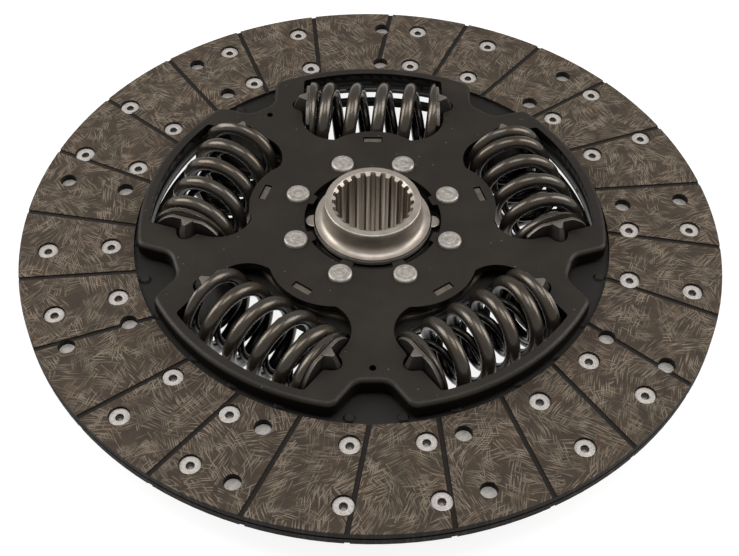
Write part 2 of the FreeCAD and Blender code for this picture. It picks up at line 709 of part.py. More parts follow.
def hub():
    """The forged hub with its flange, two lugs and a spline of 24 teeth."""
    end, collar = "hub_half_length", "hub_collar_height"
    bore, neck = "spline_minor_radius", "hub_neck_radius"
    side = [
        ("hub_flange_radius", "side_plate_inner_height"), ("hub_collar_radius", "side_plate_inner_height"),
        ("hub_collar_radius", collar), (neck, collar), (neck, f"{end} - hub_edge_chamfer"),
        (f"{neck} - hub_edge_chamfer", end), (f"{bore} + spline_chamfer_width", end),
        (bore, f"{end} - spline_chamfer"),
    ]
    body = turned("hub", side + [(across, f"-({up})") for across, up in reversed(side)])
    forged = body.Tip
    collar_top = size(collar)
    rounded(body, forged, "NeckRound", "hub_neck_round",
            lambda edge: abs(abs(edge.BoundBox.ZMax) - collar_top) < SAME
            and edge.BoundBox.ZLength < SAME and edge.BoundBox.XMax < size(neck) + SAME)
    lug_centre = "hub_lug_reach - hub_lug_radius"
    lugs = new_sketch(body, "Lugs", "side_plate_inner_height")
    for across in (lug_centre, f"-({lug_centre})"):
        draw_circle(lugs, across, "0", "hub_lug_radius")
    pad(body, lugs, "LugPad", "hub_lug_height")
    space = new_sketch(body, "SplineSpace", end)
    inside, wide = "spline_minor_radius - spline_cut_overlap", "spline_space_inner / 2"
    deep, narrow = "spline_major_radius", "spline_space_outer / 2"
    draw_polygon(space, [(inside, f"-{wide}"), (deep, f"-{narrow}"), (deep, narrow), (inside, wide)])
    cut = pocket(body, space, "SplineCut", f"2 * {end}")
    polar(body, [cut], "SplinePattern", "spline_count")
    drill = new_sketch(body, "RivetHoles", "side_plate_inner_height", turn=f"{HUB_RIVET_PHASE}")
    draw_circle(drill, "hub_rivet_circle", "0", "hub_rivet_shank_radius")
    drilled = pocket(body, drill, "Drilled", "2 * side_plate_inner_height")
    polar(body, [drilled], "RivetPattern", "hub_rivet_count")
    return body


def round_rivets(label, circle, angles, count, section):
    """A group of solid rivets, turned from a section of offsets from their own axis."""
    body = new_body(label)
    made = []
    for angle in angles:
        sketch = new_sketch(body, "Section", role="XZ_Plane", turn=angle)
        draw_polygon(sketch, [(f"{circle} + {across}", up) for across, up in section])
        low, high = size(section[0][1]), size(section[-1][1])
        axis = sketch.addGeometry(Part.LineSegment(Vector(size(circle), low, 0), Vector(size(circle), high, 0)), True)
        pin(sketch, axis, 1, circle, section[0][1])
        pin(sketch, axis, 2, circle, section[-1][1])
        made.append(revolve(body, sketch, "Rivet", "Axis0"))
    polar(body, made, "RivetPattern", count)
    return body


def hub_rivets():
    """Eight rivets with flat heads, a bevelled edge and a small pip in the middle."""
    shank, head, edge = "hub_rivet_shank_radius", "hub_rivet_head_radius", "hub_rivet_edge"
    top, foot = f"{FRONT_FACE} + hub_rivet_head_height", f"-{REAR_FACE} - hub_rivet_head_height"
    pip = "hub_rivet_pip_radius"
    section = [
        ("0", foot), (f"{head} - {edge}", foot), (head, f"{foot} + {edge}"), (head, f"-{REAR_FACE}"),
        (shank, f"-{REAR_FACE}"), (shank, FRONT_FACE), (head, FRONT_FACE), (head, f"{top} - {edge}"),
        (f"{head} - {edge}", top), (pip, top), ("hub_rivet_pip_top_radius", f"{top} + hub_rivet_pip_height"),
        ("0", f"{top} + hub_rivet_pip_height"),
    ]
    return round_rivets("hub_rivets", "hub_rivet_circle", [f"{HUB_RIVET_PHASE}"], "hub_rivet_count", section)


def segment_rivets():
    """Three rivets for each cushion segment, through both carrier plates."""
    shank, head, crown = "segment_rivet_radius", "segment_rivet_head_radius", "segment_rivet_head_top_radius"
    top = f"{CARRIER_TOP} + segment_rivet_head_height"
    section = [
        ("0", f"-({top})"), (crown, f"-({top})"), (head, f"-{CARRIER_TOP}"), (shank, f"-{CARRIER_TOP}"),
        (shank, CARRIER_TOP), (head, CARRIER_TOP), (crown, top), ("0", top),
    ]
    angles = [f"segment_phase + {turn} * segment_rivet_spread" for turn in (-1, 0, 1)]
    return round_rivets("segment_rivets", "segment_rivet_circle", angles, "segment_count", section)


def spring_seat(label, window, end):
    """A pressed seat plate with a tapered nose for each side plate's notch. end is +1 or -1."""
    body = new_body(label)
    face = new_sketch(body, "Plate", f"{SEAT_FACE} - seat_thickness", role="YZ_Plane")
    flat = "seat_half_height"
    reach = math.degrees(math.asin(size(flat) / size("seat_radius")))
    centre = ("spring_radius", "0")
    outer = draw_arc(face, centre, "seat_radius", -reach, reach)
    inner = draw_arc(face, centre, "seat_radius", 180 - reach, 180 + reach)
    half = math.sqrt(size("seat_radius") ** 2 - size(flat) ** 2)
    middle, up = size("spring_radius"), size(flat)
    top = draw_line(face, (middle + half, up), (middle - half, up))
    foot = draw_line(face, (middle - half, -up), (middle + half, -up))
    join(face, (outer, 1, 2), (top, 1, 2), (inner, 1, 2), (foot, 1, 2))
    pin(face, top, 1, up=flat)
    pin(face, top, 2, up=flat)
    pin(face, foot, 1, up=f"-{flat}")
    pin(face, foot, 2, up=f"-{flat}")
    pad(body, face, "PlatePad", "seat_thickness")
    axis = SEAT_FACE
    for name, sign in (("FrontNose", ""), ("RearNose", "-")):
        nose = new_sketch(body, name, "-spring_radius", role="XZ_Plane")
        wide, narrow = f"{axis} + nose_bottom_radius", f"{axis} + nose_top_radius"
        low, shoulder, top = f"{sign}nose_bottom", f"{sign}nose_shoulder", f"{sign}nose_top"
        draw_polygon(nose, [(axis, low), (wide, low), (wide, shoulder), (narrow, top), (axis, top)])
        spin = nose.addGeometry(Part.LineSegment(Vector(size(axis), 0, 0), Vector(size(axis), 10, 0)), True)
        pin(nose, spin, 1, axis, "0")
        pin(nose, spin, 2, axis, "nose_bottom")
        revolve(body, nose, name + "Cone", "Axis0")
    behind = new_sketch(body, "Behind", f"{SEAT_FACE} - seat_thickness", role="YZ_Plane")
    draw_circle(behind, "spring_radius", "0", "2 * seat_radius")
    pocket(body, behind, "BehindCut", "2 * nose_bottom_radius")
    inner = new_sketch(body, "InnerEdge", SEAT_FACE, role="YZ_Plane")
    flat_edge, away = "spring_radius - seat_inner_reach", "spring_radius - 2 * seat_radius"
    draw_polygon(inner, [(away, "-seat_radius"), (flat_edge, "-seat_radius"), (flat_edge, "seat_radius"),
                         (away, "seat_radius")])
    pocket(body, inner, "InnerEdgeCut", "seat_thickness")
    place_seat(body, f"{window} * 360 / window_count", end)
    return body


def place_seat(body, turn, end):
    """Puts a seat at one end of its window. The other end takes it turned over about the radius."""
    over = Rotation(Vector(0, 1, 0), 0 if end > 0 else 180)
    around = Rotation(Vector(0, 0, 1), size(turn))
    body.Placement = Placement(Vector(0, 0, 0), around.multiply(over))


def coil(mean_radius, wire, turns, hand):
    """A compression spring with closed, ground ends, along X at the first window."""
    length = 2 * (size(f"{SEAT_FACE} - seat_thickness") - size("spring_clearance"))
    ground = size("spring_ground")
    closed = size("spring_end_turns")
    travel = length - wire + 2 * ground
    close_pitch = wire * CLOSED_PITCH
    open_pitch = (travel - 2 * closed * close_pitch) / (turns - 2 * closed)
    steps = int(turns * COIL_STEPS)
    points = []
    for step in range(steps + 1):
        turn = turns * step / steps
        start = min(turn, closed)
        finish = max(turn - turns + closed, 0)
        along = (start + finish) * close_pitch + (turn - start - finish) * open_pitch - travel / 2
        angle = 2 * math.pi * turn * hand
        across = size("spring_radius") + mean_radius * math.cos(angle)
        points.append(Vector(along, across, mean_radius * math.sin(angle)))
    path = Part.BSplineCurve()
    path.interpolate(points)
    spine = Part.Wire(path.toShape())
    tangent = path.tangent(path.FirstParameter)[0]
    ring = Part.Wire(Part.Circle(points[0], tangent, wire / 2).toShape())
    sweep = Part.BRepOffsetAPI.MakePipeShell(spine)
    sweep.setFrenetMode(True)
    sweep.add(ring)
    sweep.build()
    sweep.makeSolid()
    reach = mean_radius + wire
    corner = Vector(-length / 2, size("spring_radius") - reach, -reach)
    block = Part.makeBox(length, 2 * reach, 2 * reach, corner)
    return sweep.shape().common(block).Solids[0]


def spring_set(name, outer_radius, wire, turns, hand):
    """Five equal springs, one in each window."""
    shape = coil(size(f"{outer_radius} - {wire} / 2"), size(wire), size(turns), hand)
    made = []
    for window in range(int(size("window_count"))):
        spring = doc.addObject("Part::Feature", f"{name}_{window + 1}")
        spring.Label = f"{name}_{window + 1}"
        spring.Shape = shape
        spring.Placement = Placement(Vector(0, 0, 0), Rotation(Vector(0, 0, 1), window * 360 / size("window_count")))
        made.append(spring)
    return made


def friction_parts():
    """The rings that damp the twist, stacked on each side of the carrier plates."""
    inner, outer = "friction_inner_radius", "friction_outer_radius"
    ring_face = f"{CARRIER_TOP} + face_clearance"
    ring_back = f"{ring_face} + friction_thickness"
    pressure_back = f"{ring_back} + pressure_thickness"
    bush = turned("centring_bush", ring_section("hub_flange_radius", "hub_flange_radius + bush_thickness",
                                                f"-{CARRIER_TOP}", CARRIER_TOP))
    front = turned("front_friction_ring", ring_section(inner, outer, ring_face, ring_back))
    rear = turned("rear_friction_ring", ring_section(inner, outer, f"-({ring_back})", f"-({ring_face})"))
    backing = turned("rear_backing_ring", ring_section(inner, outer, "-side_plate_inner_height", f"-({ring_back})"))
    pressure_bore = "hub_flange_radius + pressure_bore_clearance"
    pressure = turned("pressure_ring", ring_section(pressure_bore, outer, ring_back, pressure_back))
    tab = new_sketch(pressure, "Tab", pressure_back, turn=f"{WINDOW_PHASE}")
    draw_polygon(tab, tab_corners("slot_length / 2 - slot_clearance", "slot_width / 2 - slot_clearance"))
    tabs = pad(pressure, tab, "TabPad", f"{FRONT_FACE} - tab_sink - ({pressure_back})")
    polar(pressure, [tabs], "TabPattern", "window_count")
    thin, rim = "disc_spring_thickness", "disc_spring_outer_radius"
    bore = "hub_flange_radius + disc_spring_bore_clearance"
    spring = turned("disc_spring", [
        (bore, f"side_plate_inner_height - {thin}"), (rim, pressure_back),
        (rim, f"{pressure_back} + {thin}"), (bore, "side_plate_inner_height"),
    ])
    return [bush, front, rear, backing, pressure, spring]


def build():
    """Every separate piece of the disc."""
    pieces = [
        lining("front_lining", 1, FRONT_ANGLES, REAR_ANGLES),
        lining("rear_lining", -1, REAR_ANGLES, FRONT_ANGLES),
        lining_rivets("front_lining_rivets", 1, FRONT_ANGLES),
        lining_rivets("rear_lining_rivets", -1, REAR_ANGLES),
        carrier_plate("front_carrier_plate", 1),
        carrier_plate("rear_carrier_plate", -1),
        segment_rivets(),
        front_side_plate(),
        rear_side_plate(),
        hub(),
        hub_rivets(),
    ]
    pieces += [cushion_segment(number + 1) for number in range(int(size("segment_count")))]
    for window in range(int(size("window_count"))):
        for end, side in ((1, "right"), (-1, "left")):
            pieces.append(spring_seat(f"spring_seat_{window + 1}_{side}", window, end))
    pieces += spring_set("outer_spring", "outer_spring_outer_radius", "outer_spring_wire", "outer_spring_turns", 1)
    pieces += spring_set("inner_spring", "inner_spring_outer_radius", "inner_spring_wire", "inner_spring_turns", -1)
    pieces += friction_parts()
    return pieces


def write(pieces):
    """Checks every object and writes one STEP file for each piece."""
    doc.recompute()
    bad = [item.Label for item in doc.Objects if "Invalid" in item.State or "Error" in item.State]
    bad += [piece.Label for piece in pieces if piece.Shape.isNull() or not piece.Shape.isValid()]
    if bad:
        raise RuntimeError("these objects failed: " + ", ".join(bad))
    os.makedirs("parts", exist_ok=True)
    for piece in pieces:
        piece.Shape.exportStep(f"parts/{piece.Label}.step")
        print(f"{piece.Label}: {len(piece.Shape.Solids)} solids, {piece.Shape.Volume / 1000:.1f} cm3")


write(build())
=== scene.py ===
"""Looks of a heavy truck clutch disc, 430 mm across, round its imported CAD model.

Surfaces are worked out in millimetres and written in metres. The disc axis is Z and the shown side is +Z.
"""
import math
from typing import NamedTuple

import bmesh
import bpy
import numpy as np
from bpy.props import (
    FloatProperty,
    FloatVectorProperty,
    IntProperty,
    PointerProperty,
)
from mathutils import Matrix, Vector


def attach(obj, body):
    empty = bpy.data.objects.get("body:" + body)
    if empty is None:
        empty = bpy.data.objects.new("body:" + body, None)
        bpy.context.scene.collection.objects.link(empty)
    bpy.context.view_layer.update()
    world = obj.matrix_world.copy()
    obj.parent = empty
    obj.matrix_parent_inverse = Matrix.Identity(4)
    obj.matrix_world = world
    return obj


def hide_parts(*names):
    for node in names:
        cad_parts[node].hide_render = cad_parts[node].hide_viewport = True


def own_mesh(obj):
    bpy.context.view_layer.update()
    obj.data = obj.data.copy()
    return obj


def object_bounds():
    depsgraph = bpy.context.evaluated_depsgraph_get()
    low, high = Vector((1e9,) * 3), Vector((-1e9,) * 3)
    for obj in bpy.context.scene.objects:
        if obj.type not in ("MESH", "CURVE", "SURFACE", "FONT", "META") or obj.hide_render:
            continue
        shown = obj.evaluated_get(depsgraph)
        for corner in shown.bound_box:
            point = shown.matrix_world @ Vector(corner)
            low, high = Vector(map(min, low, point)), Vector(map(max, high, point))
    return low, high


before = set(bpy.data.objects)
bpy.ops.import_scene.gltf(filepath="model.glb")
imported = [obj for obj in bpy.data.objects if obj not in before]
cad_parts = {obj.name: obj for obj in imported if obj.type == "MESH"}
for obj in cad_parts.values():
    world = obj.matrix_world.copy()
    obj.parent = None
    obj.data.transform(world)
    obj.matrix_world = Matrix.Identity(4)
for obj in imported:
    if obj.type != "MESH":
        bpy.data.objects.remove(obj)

bl_info = {
    "name": "Clutch disc",
    "version": (1, 0, 0),
    "blender": (4, 5, 0),
    "location": "View3D > Sidebar > Clutch disc",
    "description": "Builds the springs, seats, hub, rivets and finishes of a truck clutch disc",
    "category": "Add Mesh",
}

CAD_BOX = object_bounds()
MM = 0.001
FULL_TURN = 2 * math.pi

# Meshes: edges sharper than this stay sharp, and corners nearer than this, in metres, are merged
SHARP_ANGLE = math.radians(32)
MERGE_DISTANCE = 1e-6
# The attribute that says how far a corner of a spring faces the coil's axis; the spring finishes paint shade by
# it
SHADED_SIDE = "inside"

# Windows of the side plates, and the turn from one window to the next
WINDOWS = 5
WINDOW_STEP = FULL_TURN / WINDOWS

# Springs, in turns: how softly the closed ends open, and the pitch of the closed ends in wires
BLEND_TURNS = 0.22
CLOSED_PITCH = 1.02

# Seats: half of a plate's height, the reach of its straight inner edge, and the bevel of its edges. A nose
# goes from its foot on the seat to its tip by how far it stands out and its half width, low and at the top
SEAT_FLAT, SEAT_INNER, SEAT_BEVEL = 22.0, 19.2, 0.35
NOSE_FOOT = ((-1.2, 5.2), (0, 5.2), (5.0, 3.7), (8.4, 1.6))
NOSE_CROWN = ((-1.2, 3.7), (0, 3.7), (2.3, 2.2), (4.6, 0.9))
NOSE_LEVELS = (9.5, 14.5, 22.6)

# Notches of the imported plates: half of the mouth, how far the wall beside it reaches, both from the pack's
# axis, and how far from the middle of a window they lie
NOTCH_MOUTH, NOTCH_REACH = 9.5, 20.0
NOTCH_NEAR, NOTCH_FAR = 46.4, 54.0

# Hub: half of its length, heights of its flange and collar, the mouth of its bore, the depth and fall of the
# chamfer, how far the bore's profile stays inside the teeth, and the places of its lugs
HUB_TOP, FLANGE_TOP, COLLAR_TOP = 30, 10, 15.4
BORE_MOUTH, CHAMFER_DEPTH, CHAMFER_FALL, TOOTH_COVER = 25.4, 2.4, 1.6, 0.4
LUGS = ((36.5, 0), (-36.5, 0))
# Spline, in degrees from the middle of a space: its edge, the tooth's edge and the middle of the tooth
SPACE_EDGE, TOOTH_EDGE, TOOTH_MIDDLE = 2.86, 4.65, 7.5

# Rivets: their number and first angles in degrees, and the circles and heights of the lining rivets
HUB_RIVETS, HUB_RIVET_START = 8, 22.5
RIVETS_PER_CIRCLE, RIVET_STEP = 9, 40
FRONT_RIVET_STARTS, REAR_RIVET_STARTS = (25.6, 40.6), (48.1,)
LINING_RIVET_CIRCLES = (198, 160.2)
FLARE_TOP, SEGMENT_TOP = 3.7, -0.25

# Stage: lamps with their places, sides and watts, their warm tint, the room's strength, and half of the
# floor's side in metres
LAMPS = (
    ("left_lamp", (-1.1, 0.25, 0.75), (0.7, 1.0), 11),
    ("right_lamp", (1.1, 0.2, 0.8), (0.7, 1.0), 10),
    ("top_lamp", (0.0, -0.15, 1.7), (1.0, 0.8), 9),
)
LAMP_TINT = (1.0, 0.975, 0.94)
ROOM_STRENGTH = 0.36
FLOOR_REACH = 4.0
# The point that the camera looks at, the photograph's centre off the line of sight, and the sensor's width
CAMERA_TARGET = Vector((0.01417, -0.04212, 0))
CAMERA_SHIFT = (-0.036, 0.0107)
SENSOR_WIDTH = 36


def linear(code):
    """An sRGB hex colour as linear red, green, blue and alpha."""
    parts = [int(code[place:place + 2], 16) / 255 for place in (1, 3, 5)]
    return [part / 12.92 if part <= 0.04045 else ((part + 0.055) / 1.055) ** 2.4 for part in parts] + [1.0]


def colour(name, description, code):
    """A colour that a user may change."""
    return FloatVectorProperty(name=name, description=description, subtype="COLOR", size=4, min=0, max=1,
                               default=linear(code))


def length(name, description, millimetres):
    """A length that a user may change, kept in metres."""
    return FloatProperty(name=name, description=description, default=millimetres * MM, unit="LENGTH",
                         precision=5)


def angle(name, description, degrees):
    """An angle that a user may change."""
    return FloatProperty(name=name, description=description, default=math.radians(degrees), unit="ROTATION")


def number(name, description, default):
    """A plain number that a user may change."""
    return FloatProperty(name=name, description=description, default=default)


class OuterSpringSizes(bpy.types.PropertyGroup):
    """Sizes of the large coil spring"""

    wire: length("Wire", "Diameter of the wire", 8.6)
    outer_radius: length("Outer radius", "Outside of the coil", 26.5)
    turns: number("Turns", "Number of turns with the closed ones", 5.55)
    start: angle("Start", "Angle of the first end about the coil axis, from outwards to the front", 208.8)
    hand: IntProperty(name="Hand", description="1 for a right-hand coil, -1 for a left-hand one", default=-1)


class InnerSpringSizes(bpy.types.PropertyGroup):
    """Sizes of the small coil spring inside the large one"""

    wire: length("Wire", "Diameter of the wire", 4.6)
    outer_radius: length("Outer radius", "Outside of the coil", 17.3)
    turns: number("Turns", "Number of turns with the closed ones", 5.8)
    start: angle("Start", "Angle of the first end about the coil axis, from outwards to the front", 128.9)
    hand: IntProperty(name="Hand", description="1 for a right-hand coil, -1 for a left-hand one", default=1)


class PackSizes(bpy.types.PropertyGroup):
    """Sizes that the spring packs share"""

    radius: length("Pack radius", "Distance of the coil axis from the disc axis", 103.8)
    half_length: length("Half length", "From the middle of a pack to the ground end of its springs", 41.45)
    first_closed: number("First closed turns", "Closed turns at the left end", 1.15)
    last_closed: number("Last closed turns", "Closed turns at the right end", 0.22)
    ground_share: FloatProperty(name="Ground share", description="Depth ground off the ends, in wires",
                                default=0.75, subtype="FACTOR")
    seat_front: length("Seat front", "From the middle of a pack to the face that the springs press on", 41.6)
    seat_back: length("Seat back", "From the middle of a pack to the back of a seat", 44.1)
    seat_radius: length("Seat radius", "Outside of a seat plate", 24)
    notch: length("Notch half height", "Half the mouth of a side plate's notch for a nose", 6.3)
    outer: PointerProperty(type=OuterSpringSizes)
    inner: PointerProperty(type=InnerSpringSizes)


class HubSizes(bpy.types.PropertyGroup):
    """Sizes of the splined hub and its rivets"""

    neck: length("Neck radius", "Outside of the hub above its collar", 29.5)
    collar: length("Collar radius", "Outside of the collar", 36.3)
    flange: length("Flange radius", "Outside of the flange between the side plates", 60)
    minor: length("Minor radius", "Tips of the spline teeth", 23)
    major: length("Major radius", "Bottoms of the spline spaces", 25)
    teeth: IntProperty(name="Teeth", description="Number of spline teeth", default=24, min=3)
    rivet_circle: length("Rivet circle", "Radius of the circle of hub rivets", 50.3)
    rivet_head: length("Rivet head radius", "Outside of a hub rivet head", 7.1)


class FinishColours(bpy.types.PropertyGroup):
    """Colours of the finishes"""

    lining: colour("Lining", "Ground of the moulded friction lining", "#42382D")
    yarn: colour("Yarn", "Light yarn in the friction lining", "#978A79")
    plate: colour("Plate", "Black phosphate on the pressed plates", "#221E1A")
    spring: colour("Spring", "Oil-tempered spring wire", "#55504A")
    spring_tint: colour("Spring tint", "Bronze scale on the spring wire", "#4F4436")
    hub: colour("Hub", "Turned and forged hub steel", "#B8AFA5")
    rivet: colour("Rivet", "Bright zinc on the lining rivets", "#C9C4C0")
    hub_rivet: colour("Hub rivet", "Hub rivet steel", "#B9B5AF")
    seat: colour("Seat", "Pressed spring seats", "#413D39")
    segment: colour("Segment", "Cushion segment steel", "#8E8B86")


class CameraSizes(bpy.types.PropertyGroup):
    """Where the camera stands"""

    azimuth: angle("Azimuth", "Direction round the disc axis", -2.128)
    elevation: angle("Elevation", "Height above the disc's plane", 49.16)
    roll: angle("Roll", "Turn about the line of sight", 1.96)
    distance: length("Distance", "From the camera to its target", 786.2)
    lens: number("Lens", "Focal length in millimetres", 63.587)


class DiscSettings(bpy.types.PropertyGroup):
    """All sizes and colours of the disc"""

    pack: PointerProperty(type=PackSizes)
    hub: PointerProperty(type=HubSizes)
    finish: PointerProperty(type=FinishColours)
    camera: PointerProperty(type=CameraSizes)


def settings():
    """The scene's disc settings."""
    return bpy.context.scene.clutch_disc


# Surfaces

def shell(points):
    """A grid of points, rows by columns, as corners and four-cornered faces between neighbours."""
    rows, columns = points.shape[:2]
    row, column = np.meshgrid(np.arange(rows - 1), np.arange(columns - 1), indexing="ij")
    first = (row * columns + column).ravel()
    faces = np.stack([first, first + 1, first + columns + 1, first + columns], axis=1)
    return points.reshape(-1, 3), faces


def join(shells):
    """Several shells as one list of corners and faces."""
    starts = np.cumsum([0] + [len(points) for points, _ in shells[:-1]])
    corners = np.concatenate([points for points, _ in shells])
    return corners, np.concatenate([faces + start for (_, faces), start in zip(shells, starts)])


def spun(points, turn):
    """Points turned about the disc axis: x cos t - y sin t, x sin t + y cos t."""
    across, up = points[..., 0], points[..., 1]
    cosine, sine = math.cos(turn), math.sin(turn)
    return np.stack([across * cosine - up * sine, across * sine + up * cosine, points[..., 2]], axis=-1)


def repeated(points, turns):
    """The same grid of points at several turns about the disc axis, as one shell."""
    return join([shell(spun(points, turn)) for turn in turns])


def softened(corners, rounds, steps=6):
    """A profile whose corners are rounded: each corner c becomes the curve (1-t)^2 a + 2t(1-t) c + t^2 b,
    where a and b lie at the round's distance along the two sides. Points just outside a and b keep the sides
    flat."""
    corners = [np.array(corner, float) for corner in corners]
    made = [corners[0]]
    t = np.linspace(0, 1, steps)[:, None]
    for before, corner, after, reach in zip(corners, corners[1:], corners[2:], rounds):
        if not reach:
            made.append(corner)
            continue
        back = (before - corner) / np.linalg.norm(before - corner)
        ahead = (after - corner) / np.linalg.norm(after - corner)
        start, stop = corner + back * reach, corner + ahead * reach
        curve = (1 - t) ** 2 * start + 2 * t * (1 - t) * corner + t ** 2 * stop
        made += [corner + back * reach * 1.12, *curve, corner + ahead * reach * 1.12]
    made.append(corners[-1])
    return np.array(made)


def turned(profile, steps, centre=(0, 0)):
    """A profile of radii and heights carried round an upright axis: r cos a, r sin a, z."""
    bearing = np.linspace(0, FULL_TURN, steps + 1)
    radius, height = profile[:, :1], profile[:, 1:]
    return np.stack([centre[0] + radius * np.cos(bearing), centre[1] + radius * np.sin(bearing),
                     height + 0 * bearing], axis=-1)


def stacked(outlines):
    """A closed skin over outlines with as many points each. The first and last close to their middles."""
    rows = [np.concatenate([outline, outline[:1]]) for outline in np.asarray(outlines, float)]
    ends = [np.broadcast_to(row[:-1].mean(0), row.shape) for row in (rows[0], rows[-1])]
    return np.stack([ends[0], *rows, ends[1]])


def write_mesh(name, corners, faces, bevel=0.0, inside=None):
    """A closed smooth mesh in metres from corners in millimetres."""
    mesh = bpy.data.meshes.new(name)
    mesh.vertices.add(len(corners))
    mesh.vertices.foreach_set("co", (np.asarray(corners) * MM).astype(np.float32).ravel())
    mesh.loops.add(faces.size)
    mesh.loops.foreach_set("vertex_index", faces.astype(np.int32).ravel())
    mesh.polygons.add(len(faces))
    mesh.polygons.foreach_set("loop_start", np.arange(0, faces.size, faces.shape[1], dtype=np.int32))
    mesh.update(calc_edges=True)
    if inside is not None:
        values = mesh.attributes.new(SHADED_SIDE, "FLOAT", "POINT").data
        values.foreach_set("value", inside.astype(np.float32))
    finish_mesh(mesh, True, bevel)
    return mesh


def finish_mesh(mesh, outward, bevel=0.0):
    """Merges doubles, so that seams and poles close, turns faces outward and bevels sharp edges where asked,
    and smooths all but sharp edges."""
    work = bmesh.new()
    work.from_mesh(mesh)
    bmesh.ops.remove_doubles(work, verts=work.verts, dist=MERGE_DISTANCE)
    bmesh.ops.dissolve_degenerate(work, edges=work.edges, dist=MERGE_DISTANCE)
    if outward:
        bmesh.ops.recalc_face_normals(work, faces=work.faces)
    if bevel:
        sharp = [edge for edge in work.edges if edge.calc_face_angle(0) > SHARP_ANGLE]
        bmesh.ops.bevel(work, geom=sharp, offset=bevel * MM, segments=2, profile=0.5, affect="EDGES")
    work.to_mesh(mesh)
    work.free()
    mesh.polygons.foreach_set("use_smooth", np.ones(len(mesh.polygons), bool))
    mesh.set_sharp_from_angle(angle=SHARP_ANGLE)
    mesh.update()


def place(name, mesh, finish, body, slot, *nodes):
    """An object that shows a mesh with a finish, rides on a body and stands for CAD nodes."""
    made = bpy.data.objects.new(name, mesh)
    bpy.context.scene.collection.objects.link(made)
    made.modifiers.new("Weighted normals", "WEIGHTED_NORMAL").keep_sharp = True
    coat(mesh, finish)
    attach(made, body)
    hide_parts(*nodes)
    return made


def coat(mesh, finish):
    """Gives a mesh one of the finishes."""
    mesh.materials.clear()
    mesh.materials.append(MATERIALS[finish])


# Finishes

def add(tree, kind, inputs=None, out=0, stops=(), **values):
    """Adds a node, sets its settings, links or sets its inputs, fills its ramp and gives one output."""
    node = tree.nodes.new(kind)
    for name, value in values.items():
        setattr(node, name, value)
    for key, value in (inputs or {}).items():
        if isinstance(value, bpy.types.NodeSocket):
            tree.links.new(value, node.inputs[key])
        else:
            node.inputs[key].default_value = value
    for _ in stops[2:]:
        node.color_ramp.elements.new(0.5)
    for place_in_ramp, (position, value) in enumerate(stops):
        element = node.color_ramp.elements[place_in_ramp]
        element.position = position
        element.color = value if hasattr(value, "__len__") else (value, value, value, 1)
    return node.outputs[out] if node.outputs else None


class Finish(NamedTuple):
    """A material while it is made: its shader, the place in millimetres that patterns read, its colour."""

    material: bpy.types.Material
    tree: bpy.types.NodeTree
    shader: bpy.types.Node
    spot: bpy.types.NodeSocket
    shown: bpy.types.NodeSocket = None


def new_finish(name):
    """A material with a Principled shader and Object coordinates in millimetres."""
    material = bpy.data.materials.new(name)
    material.use_nodes = True
    tree = material.node_tree
    metres = add(tree, "ShaderNodeTexCoord", out="Object")
    spot = add(tree, "ShaderNodeVectorMath", {0: metres, "Scale": 1 / MM}, operation="SCALE")
    return Finish(material, tree, tree.nodes["Principled BSDF"], spot)


def toned(made, share, tone):
    """Mixes another colour into a finish by a share from 0 to 1."""
    colours = {0: share, 6: made.shown, 7: tone}
    mixed = add(made.tree, "ShaderNodeMix", colours, 2, data_type="RGBA")
    made.tree.links.new(mixed, made.shader.inputs["Base Color"])
    return made._replace(shown=mixed)


def level_of(made):
    """The height above or below the disc's middle plane."""
    height = add(made.tree, "ShaderNodeSeparateXYZ", {"Vector": made.spot}, out="Z")
    return add(made.tree, "ShaderNodeMath", {0: height}, operation="ABSOLUTE")


def level_share(made, stops):
    """How far a tone applies at each height from the middle plane. Stops are millimetres and shares."""
    highest = 40.0
    scaled = add(made.tree, "ShaderNodeMath", {0: level_of(made), 1: highest}, operation="DIVIDE")
    scaled_stops = [(level / highest, share) for level, share in stops]
    return add(made.tree, "ShaderNodeValToRGB", {"Fac": scaled}, stops=scaled_stops)


def flatness(made):
    """1 on faces that look along the disc axis and 0 on upright walls: the size of the true normal's Z."""
    facing = add(made.tree, "ShaderNodeNewGeometry", out="True Normal")
    rising = add(made.tree, "ShaderNodeSeparateXYZ", {"Vector": facing}, out="Z")
    return add(made.tree, "ShaderNodeMath", {0: rising}, operation="ABSOLUTE")


